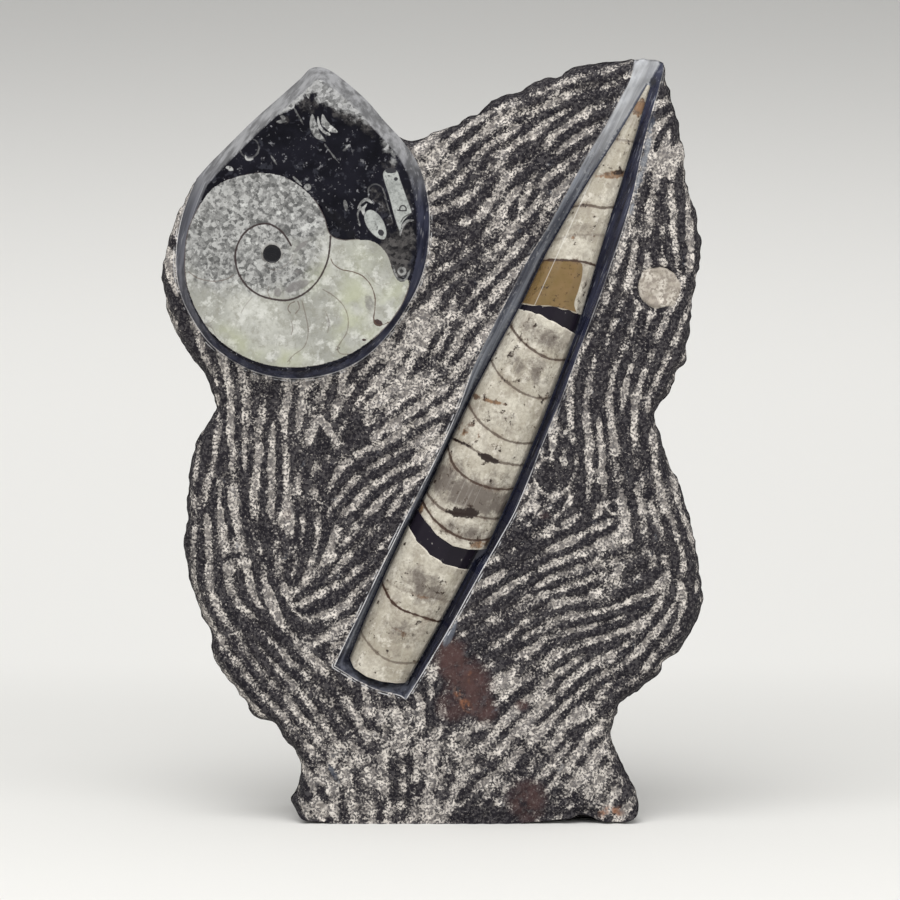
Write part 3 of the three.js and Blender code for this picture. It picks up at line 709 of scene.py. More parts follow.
# Marks in the rough face, each an oval patch: place, half sizes, lean and strength.
PALE_PATCHES = [
    (-45, 5.5, 7, 4, -10, 1.0), (28, 56, 6, 4, 10, 1.0), (43, 48.5, 4.4, 3, 20, 0.8),
    (0, 4.5, 9, 5, 10, 0.9), (70, 5, 4, 3, 0, 0.6), (92, 261, 6, 8, -60, 0.8),
    (-1, 149, 9, 4.5, 60, 0.9), (13, 236, 2.6, 1.6, 30, 0.8), (-57, 120.5, 3.4, 5.4, 10, 1.0),
    (-40, 105.5, 2.4, 2.2, 0, 0.9), (-62, 85, 2.4, 8, 22, 0.95), (-76, 102, 5, 3, 0, 0.8),
    (-78, 128, 3, 4, 0, 0.7), (-41, 156, 1.6, 5, 35, 0.9), (-46.5, 154.5, 1.6, 6, -22, 0.8),
    (-4, 196, 6, 11, -30, 0.75), (-14, 186, 9, 5, 40, 0.6), (-18, 172, 6, 12, -35, 0.5),
    (63.5, 125, 2.6, 4, 10, 0.8), (36, 131, 1.6, 4, -30, 0.7), (40, 125, 1.4, 3, -40, 0.7),
    (72.5, 99.5, 1.3, 4.4, -35, 0.8), (64, 137, 3, 3, 0, 0.7), (66, 111, 2.5, 2.4, 0, 0.7),
    (48, 129, 2, 2, 0, 0.8), (-100, 222, 4, 14, 8, 0.5), (-96, 240, 4, 9, -25, 0.7),
    (2, 262, 5, 8, 30, 0.5), (-4, 225, 3, 10, 0, 0.5), (-52, 24, 3, 5, 0, 0.5),
    (48, 152, 2, 10, 20, 0.4), (-22, 30, 44, 20, 0, 0.3), (52, 30, 26, 18, 0, 0.22),
]
DARK_PATCHES = [
    (21, 2.5, 14, 3.5, 0, 0.9), (-29, 153.6, 6.5, 2.4, 20, 0.9), (47, 137, 5, 5, 0, 0.5),
    (86, 230, 3, 5, 0, 0.4), (56, 130, 12, 9, 0, 0.35), (35, 112, 9, 12, -20, 0.45),
    (18, 250, 8, 6, 0, 0.3), (92, 14, 5, 20, 0, 0.5),
]
RED_PATCHES = [
    (9, 64, 7, 9, 20, 1.0), (14, 54, 8, 9, -20, 1.0), (19, 46, 6, 5, -30, 0.9), (8, 47, 6, 6, 0, 0.7),
    (37, 10, 7, 6.5, 30, 0.8), (35, 47, 2.5, 2, 0, 0.7), (5, 71, 3, 4, 30, 0.8),
    (38.5, 3, 5, 3, 0, 0.5), (44, 122, 2, 1.5, 0, 0.5), (-57, 122, 1.6, 1.8, 0, 0.6),
]
RUST_SPOTS = [(13, 47, 3, 1.6, -50, 1.0), (10, 52, 2, 1.3, -60, 0.9), (70, 4.6, 4.6, 2.4, 0, 0.9),
              (15, 58, 1.2, 2.2, 0, 0.5)]
DISC_RINGS = [(47, 137, 7.4, 0.55), (71, 125, 2.6, 0.9), (-23, 153, 1.8, 0.8), (64, 137, 2.4, 0.5),
              (88, 211, 10.2, 0.5)]


rings = sum(shown * np.exp(-((np.hypot(*(front - (x, z)).T) - radius) / 0.7) ** 2)
            for x, z, radius, shown in DISC_RINGS)
worn = ease(mottle(31, front, 9), 0.4, 0.85)
bruise = 0.5 + (0.5 - 0.34 * worn) * rows_here + rings
bruise += 0.55 * (mottle(32, front, 13) - 0.5) + 0.4 * (mottle(33, front, 4) - 0.5)
bruise += 0.8 * patch_layer(front, PALE_PATCHES) - 0.9 * patch_layer(front, DARK_PATCHES)
bruise -= 0.55 * patch_layer(front, RED_PATCHES)
by_boss = (1 - ease(to_boss, 0, 7)) * ease(mottle(8, front, 6), 0.25, 0.7)
bruise += 0.5 * by_boss
fragment_mm, fragment_shown = np.full(len(front), 9.0), np.zeros(len(front))
for half, shown, line in fragment_lines:
    if len(line) > 1:
        apart, where = distance_to(front, line)
        whole_ring = math.dist(line[0], line[-1]) < 1
        thin_ends = 1 if whole_ring else np.clip(np.sin(np.pi * where / where.max()), 0, 1) ** 0.6
        apart -= half * thin_ends
        fragment_shown = np.where(apart < fragment_mm, shown, fragment_shown)
        fragment_mm = np.minimum(fragment_mm, apart)
at_left = front[:, 0] < -46
# Painted light on the boss's bevel: lighter towards its top and dark navy low down, as painted light and
# painted shade from a lamp above; its left side is painted a little lighter.
bevel_painted_light = np.where(
    at_left, 0.32 + 0.68 * ease(front[:, 1], 238, 266), ease(front[:, 1], 240, 268))
bevel_painted_light *= ease(front[:, 1], 184, 206)
across_shell = (front - SHELL_TIP) @ ACROSS
# The upper-left wall of the trough is painted light, fading down the shell, and the lower-right wall near
# black, as painted light and painted shade; the walls also differ in finish.
wall_finish_and_painted_light = np.where(across_shell < 0, 0.42 + 0.58 * (1 - ease(down_shell, 6, 60)), 0.04)
wall_finish_and_painted_light = np.where(down_shell > 250, 0.2, wall_finish_and_painted_light)
wall_finish_and_painted_light *= 1 - 0.85 * on_floor
outer_line = np.where(
    across_shell < 0, 0.25 + 0.75 * ease(down_shell, 110, 170), 0.35 + 0.65 * ease(down_shell, 130, 185))
line_shown = np.where(to_trough < to_boss, outer_line, 0.75 * (1 - ease(front[:, 1], 232, 262)))
strip = patch_layer(front, [
    (81.6, 262, 2.6, 24, -12, 0.9), (84, 281, 2, 10, -18, 0.9), (6.6, 75, 6.5, 1.8, 66, 1.0),
    (-39.5, 20.5, 4.4, 1.3, -57, 0.9), (-34.6, 28.3, 1.3, 1.3, 0, 0.9)])
strip *= ease(to_trough, 0, 0.6)

crease = np.zeros(whole)
crease[:len(front)][to_facet < 1e-3] = 1
crease[:len(front)][to_boss < 1e-3] = 2
crease[:len(front)][(to_trough < 1e-3) & (crease[:len(front)] == 0)] = 3
slab = make_piece(
    "limestone_block", corners, slab_faces,
    layers={
        "bruise": np.concatenate([bruise, side_tone[len(front):]]),
        "rim": front_layer(broken, 0.9),
        "ground_mm": front_layer(np.minimum(to_boss, to_trough), 50),
        "ground_line": front_layer(line_shown),
        "red": front_layer(patch_layer(front, RED_PATCHES)),
        "rust": front_layer(patch_layer(front, RUST_SPOTS)),
        "strip": front_layer(strip),
        "fragment_mm": front_layer(fragment_mm, 9),
        "fragment_shown": front_layer(fragment_shown),
        "milky": front_layer(patch_layer(front, MILKY_PATCHES, soft=0.3)),
        "mottled": front_layer(patch_layer(front, GREY_PATCHES, soft=0.3)),
        "bevel": front_layer(np.where(on_facet, 0, 1) * on_boss),
        "bevel_light_share": front_layer(bevel_painted_light),
        "wall": front_layer(wall_finish_and_painted_light),
        "facet_mm": front_layer(to_facet, 50),
    },
    material_index=face_kind, sharp=crease)
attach(slab, "root")
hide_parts("stone_slab")


def fill_inputs(tree, made, pairs):
    """Set or link inputs that are found by name or number."""
    for index, value in pairs:
        if isinstance(value, bpy.types.NodeSocket):
            tree.links.new(value, made.inputs[index])
        else:
            made.inputs[index].default_value = value


def add_node(tree, kind, values=None, **settings):
    """A shader node with its settings, and a value or a link for each named input."""
    made = tree.nodes.new(kind)
    for name, value in settings.items():
        setattr(made, name, value)
    fill_inputs(tree, made, (values or {}).items())
    return made


def ramp(tree, value, low, high, start=0.0, end=1.0):
    """value taken from low..high to start..end with a smooth change."""
    made = add_node(tree, "ShaderNodeMapRange", {
        "Value": value, "From Min": low, "From Max": high, "To Min": start, "To Max": end},
        interpolation_type="SMOOTHSTEP")
    return made.outputs["Result"]


def blend(tree, share, a, b):
    """Colour a where share is 0 and b where it is 1."""
    made = add_node(tree, "ShaderNodeMix", data_type="RGBA")
    fill_inputs(tree, made, ((0, share), (6, a), (7, b)))
    return made.outputs[2]


def calculate(tree, operation, a, b=0.0):
    """One sum on two numbers."""
    made = add_node(tree, "ShaderNodeMath", operation=operation)
    fill_inputs(tree, made, ((0, a), (1, b)))
    return made.outputs[0]


def times(tree, a, b):
    """a multiplied by b."""
    return calculate(tree, "MULTIPLY", a, b)


def plus(tree, a, b):
    """a and b together."""
    return calculate(tree, "ADD", a, b)


def away_from(tree, value, middle):
    """How far a number lies from a given one, either way."""
    return calculate(tree, "ABSOLUTE", calculate(tree, "SUBTRACT", value, middle))


def layer(tree, name):
    """A number kept on the piece's corners."""
    return add_node(tree, "ShaderNodeAttribute", attribute_name=name).outputs["Fac"]


def noise(tree, size_mm, detail, roughness=0.5, offset=0.0):
    """Noise whose patches are about size_mm across, in the piece's own space."""
    place = add_node(tree, "ShaderNodeTexCoord").outputs["Object"]
    if offset:
        place = add_node(tree, "ShaderNodeMapping", {"Vector": place, "Location": (offset,) * 3}).outputs[0]
    return add_node(tree, "ShaderNodeTexNoise", {
        "Vector": place, "Scale": 500.0 / size_mm, "Detail": detail, "Roughness": roughness}).outputs["Fac"]


def uneven(tree, size_mm, detail, roughness, offset=0.0, reach=1.0):
    """Noise about 0, for making an edge or a line ragged."""
    about_nought = calculate(tree, "SUBTRACT", noise(tree, size_mm, detail, roughness, offset), 0.5)
    return about_nought if reach == 1.0 else times(tree, about_nought, reach)


def new_group(name, inputs, outputs):
    """An empty shader group. Returns it, its tree's named inputs and its output node."""
    group = bpy.data.node_groups.new(name, "ShaderNodeTree")
    for socket, value in inputs.items():
        made = group.interface.new_socket(socket, in_out="INPUT", socket_type="NodeSocketFloat")
        made.default_value = value
    for socket in outputs:
        group.interface.new_socket(socket, in_out="OUTPUT", socket_type="NodeSocketFloat")
    return group, group.nodes.new("NodeGroupInput").outputs, group.nodes.new("NodeGroupOutput").inputs


def place_group(tree, group, values):
    """A group placed in a material with its own values. Returns its outputs."""
    return add_node(tree, "ShaderNodeGroup", values, node_tree=group).outputs


def grain_group():
    """Crushed grains: pale specks that cover a given share of the surface."""
    group, given, out = new_group(
        "crushed_grains", {"Grain Size": 1.0, "Coverage": 0.5}, ("Specks", "Height"))
    place = add_node(group, "ShaderNodeTexCoord").outputs["Object"]
    scale = calculate(group, "DIVIDE", 500.0, given["Grain Size"])
    grains = add_node(group, "ShaderNodeTexNoise", {
        "Vector": place, "Scale": scale, "Detail": 2.5, "Roughness": 0.62}).outputs["Fac"]
    limit = calculate(group, "SUBTRACT", 0.62, times(group, given["Coverage"], 0.24))
    over = calculate(group, "SUBTRACT", grains, limit)
    group.links.new(ramp(group, over, -0.035, 0.05), out["Specks"])
    group.links.new(grains, out["Height"])
    return group


def calcite_group():
    """Calcite: soft clouds, and crystals that each have a tone of their own."""
    group, given, out = new_group(
        "calcite_clouds", {"Cloud Size": 8.0, "Crystal Size": 1.5}, ("Clouds", "Crystals"))
    place = add_node(group, "ShaderNodeTexCoord").outputs["Object"]
    cloud_scale = calculate(group, "DIVIDE", 500.0, given["Cloud Size"])
    clouds = add_node(group, "ShaderNodeTexNoise", {
        "Vector": place, "Scale": cloud_scale, "Detail": 5.0, "Roughness": 0.6}).outputs["Fac"]
    crystal_scale = calculate(group, "DIVIDE", 1000.0, given["Crystal Size"])
    bent = add_node(group, "ShaderNodeTexNoise", {"Vector": place, "Scale": crystal_scale, "Detail": 2.0})
    bend = add_node(group, "ShaderNodeVectorMath", {0: bent.outputs["Color"]}, operation="SCALE")
    fill_inputs(group, bend, ((3, 0.0012),))
    moved = add_node(group, "ShaderNodeVectorMath", {0: place, 1: bend.outputs[0]}, operation="ADD")
    cells = add_node(group, "ShaderNodeTexVoronoi", {"Vector": moved.outputs[0], "Scale": crystal_scale})
    tone = add_node(group, "ShaderNodeSeparateColor", {"Color": cells.outputs["Color"]}).outputs[0]
    fine = add_node(group, "ShaderNodeTexNoise", {
        "Vector": place, "Scale": crystal_scale, "Detail": 4.0, "Roughness": 0.65}).outputs["Fac"]
    mixed = plus(group, times(group, tone, 0.35), times(group, fine, 0.65))
    group.links.new(ramp(group, clouds, 0.32, 0.68), out["Clouds"])
    group.links.new(ramp(group, mixed, 0.25, 0.75), out["Crystals"])
    return group


def scratch_group():
    """Fine straight scratches left by grinding, all leaning the same way from upright."""
    group, given, out = new_group(
        "grinding_scratches", {"Turn": 0.0, "Length": 20.0, "Width": 0.5}, ("Scratches", "Streaks"))
    place = add_node(group, "ShaderNodeTexCoord").outputs["Object"]
    turn = add_node(group, "ShaderNodeCombineXYZ", {"Y": given["Turn"]}).outputs[0]
    longer = calculate(group, "DIVIDE", given["Length"], given["Width"])
    stretch = add_node(group, "ShaderNodeCombineXYZ", {"X": 1.0, "Y": 1.0, "Z": longer}).outputs[0]
    place = add_node(group, "ShaderNodeMapping", {
        "Vector": place, "Rotation": turn, "Scale": stretch}, vector_type="TEXTURE").outputs[0]
    fine_scale = calculate(group, "DIVIDE", 500.0, given["Width"])
    fine = add_node(group, "ShaderNodeTexNoise", {
        "Vector": place, "Scale": fine_scale, "Detail": 2.0}).outputs["Fac"]
    broad_scale = calculate(group, "DIVIDE", 160.0, given["Width"])
    broad = add_node(group, "ShaderNodeTexNoise", {
        "Vector": place, "Scale": broad_scale, "Detail": 3.0}).outputs["Fac"]
    group.links.new(ramp(group, fine, 0.62, 0.70), out["Scratches"])
    group.links.new(ramp(group, broad, 0.35, 0.65), out["Streaks"])
    return group


grain, calcite, scratches = grain_group(), calcite_group(), scratch_group()


def new_material(name):
    """A material with its own shader, ready for links. Returns the material, tree and shader."""
    material = bpy.data.materials.new(name)
    material.use_nodes = True
    return material, material.node_tree, material.node_tree.nodes["Principled BSDF"]


def add_bump(tree, shader, height, strength, distance):
    """Fine relief from a height, as deep as the given distance in metres."""
    bump = add_node(tree, "ShaderNodeBump", {"Strength": strength, "Distance": distance, "Height": height})
    tree.links.new(bump.outputs["Normal"], shader.inputs["Normal"])


def rock_material():
    """Bruised black limestone: white specks crowded along the struck rows, few on the ridges."""
    material, tree, shader = new_material("chiselled_black_limestone")
    ragged = uneven(tree, 2.3, 3, 0.62, offset=1.7)
    struck = plus(tree, layer(tree, "bruise"), times(tree, ragged, 1.3))
    struck = calculate(tree, "SUBTRACT", struck, times(tree, layer(tree, "rim"), 0.3))
    coverage = ramp(tree, struck, 0.12, 0.82, -0.08, 0.58)
    grains = place_group(tree, grain, {"Grain Size": 0.45, "Coverage": coverage})
    dim = place_group(tree, grain, {"Grain Size": 0.6, "Coverage": 0.44})
    dark = blend(tree, noise(tree, 7, 2, offset=3.1), (0.005, 0.0045, 0.008, 1), (0.024, 0.021, 0.025, 1))
    dark = blend(tree, times(tree, dim["Specks"], 0.5), dark, (0.095, 0.088, 0.090, 1))
    dark = blend(tree, ramp(tree, struck, 0.45, 1.1, 0, 0.7), dark, (0.20, 0.186, 0.18, 1))
    pale = blend(tree, ramp(tree, noise(tree, 1.3, 3, 0.6, offset=7.7), 0.35, 0.65),
                 (0.21, 0.192, 0.178, 1), (0.72, 0.67, 0.61, 1))
    dimmed = ramp(tree, struck, 0.35, 0.85, 0.45, 1.0)
    colour = blend(tree, times(tree, grains["Specks"], dimmed), dark, pale)
    red = times(tree, layer(tree, "red"), ramp(tree, noise(tree, 4, 3, 0.6, offset=5), 0.3, 0.55))
    colour = blend(tree, times(tree, red, 0.8), colour, (0.085, 0.046, 0.042, 1))
    rust = times(tree, layer(tree, "rust"), ramp(tree, noise(tree, 1.8, 3, 0.6), 0.42, 0.6))
    colour = blend(tree, times(tree, rust, 0.8), colour, (0.30, 0.13, 0.065, 1))
    streaks = place_group(tree, scratches, {"Turn": 0.3, "Length": 14.0, "Width": 0.6})
    ground = blend(tree, streaks["Streaks"], (0.045, 0.052, 0.075, 1), (0.21, 0.23, 0.26, 1))
    strip = plus(tree, layer(tree, "strip"), times(tree, ragged, 2.6))
    colour = blend(tree, ramp(tree, strip, 0.4, 0.9, 0, 0.75), colour, ground)
    away = layer(tree, "ground_mm")
    first = ramp(tree, away_from(tree, away, 0.15), 0.1, 0.32, 1, 0)
    second = ramp(tree, away_from(tree, away, 1.05), 0.08, 0.3, 0.9, 0)
    broken_up = ramp(tree, noise(tree, 2.2, 3, 0.6, offset=8.0), 0.48, 0.58)
    worn = ramp(tree, noise(tree, 3.5, 4, 0.65, offset=1.3), 0.40, 0.50, 0.35, 1)
    lines = calculate(tree, "MAXIMUM", times(tree, first, worn),
                      times(tree, second, broken_up))
    lines = times(tree, lines, layer(tree, "ground_line"))
    colour = blend(tree, times(tree, lines, 0.85), colour, (0.62, 0.62, 0.63, 1))
    tree.links.new(colour, shader.inputs["Base Color"])
    add_bump(tree, shader, grains["Height"], 0.7, 0.0004)
    shader.inputs["Roughness"].default_value = 0.75
    shader.inputs["Specular IOR Level"].default_value = 0.12
    return material


def polished_material():
    """The same limestone polished: nearly black, with shell bits and grey calcite at the point."""
    material, tree, shader = new_material("polished_black_limestone")
    clouds = place_group(tree, calcite, {"Cloud Size": 6.0, "Crystal Size": 1.4})
    grains = place_group(tree, grain, {"Grain Size": 0.9, "Coverage": -0.12})
    flecks = place_group(tree, grain, {"Grain Size": 1.6, "Coverage": 0.04})
    dark = blend(tree, clouds["Clouds"], (0.002, 0.002, 0.004, 1), (0.008, 0.0078, 0.013, 1))
    dark = blend(tree, times(tree, flecks["Specks"], 0.7), dark, (0.030, 0.031, 0.040, 1))
    pale = blend(tree, clouds["Crystals"], (0.03, 0.03, 0.036, 1), (0.19, 0.19, 0.20, 1))
    colour = blend(tree, grains["Specks"], dark, pale)
    ragged = uneven(tree, 1.6, 4, 0.65, offset=2.0, reach=1.3)
    mottled = ramp(tree, plus(tree, layer(tree, "mottled"), ragged), 0.3, 0.75)
    brownish = blend(tree, clouds["Crystals"], (0.010, 0.0095, 0.011, 1), (0.085, 0.08, 0.078, 1))
    colour = blend(tree, mottled, colour, brownish)
    milky = ramp(tree, plus(tree, layer(tree, "milky"), ragged), 0.35, 0.7)
    haze = blend(tree, clouds["Crystals"], (0.11, 0.11, 0.11, 1), (0.44, 0.44, 0.435, 1))
    colour = blend(tree, milky, colour, haze)
    bit = ramp(tree, plus(tree, layer(tree, "fragment_mm"), times(tree, ragged, 0.75)), 0.0, 0.35, 1, 0)
    bit = times(tree, bit, layer(tree, "fragment_shown"))
    shell_grey = blend(tree, clouds["Crystals"], (0.12, 0.12, 0.118, 1), (0.52, 0.52, 0.505, 1))
    colour = blend(tree, bit, colour, shell_grey)
    streaks = place_group(tree, scratches, {"Turn": 0.35, "Length": 16.0, "Width": 0.5})
    # Painted light on the bevel: the dark navy low down is painted shade, and the lighter grey named glassy
    # towards the top is painted light.
    bevel_light_share = layer(tree, "bevel_light_share")
    painted_shade_bevel = blend(tree, streaks["Streaks"], (0.011, 0.012, 0.024, 1), (0.042, 0.045, 0.072, 1))
    glassy = blend(tree, streaks["Streaks"], (0.13, 0.13, 0.132, 1), (0.29, 0.29, 0.295, 1))
    bevel = blend(tree, bevel_light_share, painted_shade_bevel, glassy)
    bevel = blend(tree, times(tree, streaks["Scratches"], 0.25), bevel, (0.5, 0.5, 0.52, 1))
    colour = blend(tree, layer(tree, "bevel"), colour, bevel)
    tree.links.new(colour, shader.inputs["Base Color"])
    tree.links.new(ramp(tree, layer(tree, "bevel"), 0, 1, 0.16, 0.36), shader.inputs["Roughness"])
    shader.inputs["Specular IOR Level"].default_value = 0.12
    return material


def ground_material():
    """Walls of the trough: ground with a small wheel and half polished, streaked lengthwise."""
    material, tree, shader = new_material("ground_black_limestone")
    streaks = place_group(tree, scratches, {"Turn": SHELL_LEAN_TURN, "Length": 22.0, "Width": 0.42})
    # The light upper-left wall and the near-black lower-right wall are partly painted light and painted
    # shade, and partly a real difference of finish: the lighter wall is rougher, the dark one polished.
    tone = layer(tree, "wall")
    deep = blend(tree, streaks["Streaks"], (0.006, 0.0065, 0.016, 1), (0.027, 0.030, 0.058, 1))
    middle = blend(tree, streaks["Streaks"], (0.040, 0.045, 0.065, 1), (0.20, 0.215, 0.25, 1))
    light = blend(tree, streaks["Streaks"], (0.27, 0.275, 0.29, 1), (0.48, 0.49, 0.51, 1))
    colour = blend(tree, ramp(tree, tone, 0.0, 0.45), deep, middle)
    colour = blend(tree, ramp(tree, tone, 0.45, 0.95), colour, light)
    rough = ramp(tree, noise(tree, 1.0, 3, 0.65), 0.55, 0.68, 0, 0.55)
    rough = times(tree, rough, ramp(tree, tone, 0.1, 0.5))
    colour = blend(tree, rough, colour, (0.36, 0.37, 0.39, 1))
    colour = blend(tree, times(tree, streaks["Scratches"], 0.3), colour, (0.42, 0.44, 0.5, 1))
    tree.links.new(colour, shader.inputs["Base Color"])
    tree.links.new(ramp(tree, tone, 0, 0.5, 0.25, 0.5), shader.inputs["Roughness"])
    add_bump(tree, shader, streaks["Streaks"], 0.3, 0.0002)
    return material


def sawn_material():
    """The sawn back: dull dark grey stone with faint lines of the saw and pale veins."""
    material, tree, shader = new_material("sawn_black_limestone")
    streaks = place_group(tree, scratches, {"Turn": math.pi / 2 - 0.1, "Length": 90.0, "Width": 1.1})
    grains = place_group(tree, grain, {"Grain Size": 1.0, "Coverage": 0.16})
    dark = blend(tree, noise(tree, 14, 4, 0.6), (0.040, 0.038, 0.043, 1), (0.085, 0.082, 0.086, 1))
    dark = blend(tree, times(tree, streaks["Streaks"], 0.35), dark, (0.13, 0.128, 0.13, 1))
    colour = blend(tree, times(tree, grains["Specks"], 0.5), dark, (0.22, 0.212, 0.20, 1))
    vein = away_from(tree, noise(tree, 40, 4, 0.55, offset=4.0), 0.5)
    few = ramp(tree, noise(tree, 60, 2, offset=6.0), 0.50, 0.62)
    vein = times(tree, ramp(tree, vein, 0.001, 0.006, 0.4, 0), few)
    colour = blend(tree, vein, colour, (0.40, 0.385, 0.36, 1))
    tree.links.new(colour, shader.inputs["Base Color"])
    add_bump(tree, shader, streaks["Streaks"], 0.4, 0.0003)
    shader.inputs["Roughness"].default_value = 0.7
    shader.inputs["Specular IOR Level"].default_value = 0.25
    return material


for make in (rock_material, polished_material, ground_material, sawn_material):
    slab.data.materials.append(make())

# ---------------------------------------------------------------------------------------------
# The long shell: a straight-shelled orthoceras of milky calcite, ground down to low facets with
# the rock round it. It broke into three lengths in the sea bed, and black mud filled the breaks.

BELLY_SHARE = 0.42
TIP_START = [(0.1, -14), (0.1, 20)]
TIP_END = [(98.4, -14), (98.4, -9.6), (97.2, -5), (95.1, -0.2), (93.6, 6.8), (91.8, 20)]
MIDDLE_START = [(100.8, -14), (100.6, -9.8), (99.5, -5), (99.1, -1.7), (99.6, 7.2), (101, 20)]
MIDDLE_END = [(187, -18), (191.9, -9), (194.4, -2.4), (195.5, 4.7), (194.4, 10.8), (191, 20)]
BASE_START = [(194, -18), (199.5, -8.9), (202, -2.2), (203.1, 4.9), (202.5, 11.2), (201.5, 20)]
BASE_END = [(250, -18), (253.6, -13.6), (255.8, -10.8), (256.5, -5), (255.8, 1.3), (254.2, 7.2), (250, 18)]


def facet_radius(angle, edges):
    """How far a section reaches when it is ground flat between the given edge angles."""
    k = np.clip(np.searchsorted(edges, angle, side="right") - 1, 0, len(edges) - 2)
    half = (edges[k + 1] - edges[k]) / 2
    return np.cos(half) / np.cos(angle - edges[k] - half)


def shell_corners(stations, start, end, edge_degrees, step, shrink=0.0):
    """Corners of a length of shell between two broken ends: rings of front and belly points.
    Returns the corners, faces, distance down the shell, distance across and the distance to the nearer
    broken end."""
    longest = max(d for d, _ in end) - min(d for d, _ in start)
    rows = int(longest / step) + 1
    across_count = int(1.3 * max(w for d, w, _ in stations if d <= end[0][0] + 10) / step / 1.25)
    angle = np.linspace(0, math.pi, across_count)[None]
    share = np.linspace(0, 1, rows)[:, None]
    start_t, end_t = np.array(start).T[1], np.array(end).T[1]
    across = np.zeros((rows, across_count))
    radius = 0.06 + 0.94 * facet_radius(angle, np.radians(edge_degrees))
    for _ in range(4):
        first = np.interp(across, start_t, np.array(start).T[0])
        last = np.interp(across, end_t, np.array(end).T[0])
        down = first + (last - first) * share
        width, middle = shell_size(down, stations)
        across = middle - (width / 2 - shrink) * radius * np.cos(angle)
    to_end = np.minimum(down - first, last - down)
    rounded = 0.45 * np.clip(1 - to_end / 0.8, 0, 1) ** 2 if not shrink else 0
    forward = (width * CREST_SHARE - shrink) * radius * np.sin(angle) - rounded
    front_plan = on_line(down.ravel(), across.ravel())
    worn = 0.10 * (mottle(31, front_plan, 7) - 0.5) + 0.04 * (mottle(32, front_plan, 1.3) - 0.5)
    front_y = floor_y(down) - np.maximum(forward, 0) + worn.reshape(down.shape) * np.sin(angle)
    back_y = floor_y(down) + (width - 2 * shrink) * BELLY_SHARE * np.sin(angle) + 0.02
    inner = slice(1, -1)
    back_plan = on_line(down[:, inner].ravel(), across[:, inner].ravel())
    corners = np.vstack([
        np.column_stack([front_plan[:, 0], front_y.ravel(), front_plan[:, 1]]),
        np.column_stack([back_plan[:, 0], back_y[:, inner].ravel(), back_plan[:, 1]])])
    index = np.arange(rows * across_count).reshape(rows, across_count)
    behind = index.copy()
    behind[:, inner] = rows * across_count + np.arange(rows * (across_count - 2)).reshape(rows, -1)
    a, b, c, d = index[:-1, :-1], index[1:, :-1], index[1:, 1:], index[:-1, 1:]
    faces = [np.stack([a, b, c, d], -1).reshape(-1, 4)]
    a, b, c, d = behind[:-1, :-1], behind[:-1, 1:], behind[1:, 1:], behind[1:, :-1]
    faces.append(np.stack([a, b, c, d], -1).reshape(-1, 4))
    caps = []
    for row, turned in ((0, False), (-1, True)):
        ring = [index[row, :-1], index[row, 1:], behind[row, 1:], behind[row, :-1]]
        cap = np.stack(ring[::-1] if turned else ring, -1)
        caps += [[*dict.fromkeys(corner)] for corner in cap.tolist()]
    whole_down = np.concatenate([down.ravel(), down[:, inner].ravel()])
    whole_across = np.concatenate([across.ravel(), across[:, inner].ravel()])
    whole_end = np.concatenate([to_end.ravel(), to_end[:, inner].ravel()])
    return corners, np.vstack(faces).tolist() + caps, whole_down, whole_across, whole_end


def septum_layers(points, down, across, septa):
    """Distance to the nearest chamber wall, changing sign from chamber to chamber, and how
    strongly that wall shows."""
    nearest, strength, side = np.full(len(points), 50.0), np.zeros(len(points)), np.ones(len(points))
    for shown, line in septa:
        path = smooth_path(line, 1.0)
        apart, _ = distance_to(points, path)
        rel = path - SHELL_TIP
        order = np.argsort(rel @ ACROSS)
        there = np.interp(across, (rel @ ACROSS)[order], (rel @ DOWN)[order])
        side = np.where(down > there, -side, side)
        closer = apart < nearest
        strength[closer] = shown
        nearest = np.minimum(nearest, apart)
    return nearest * side, strength


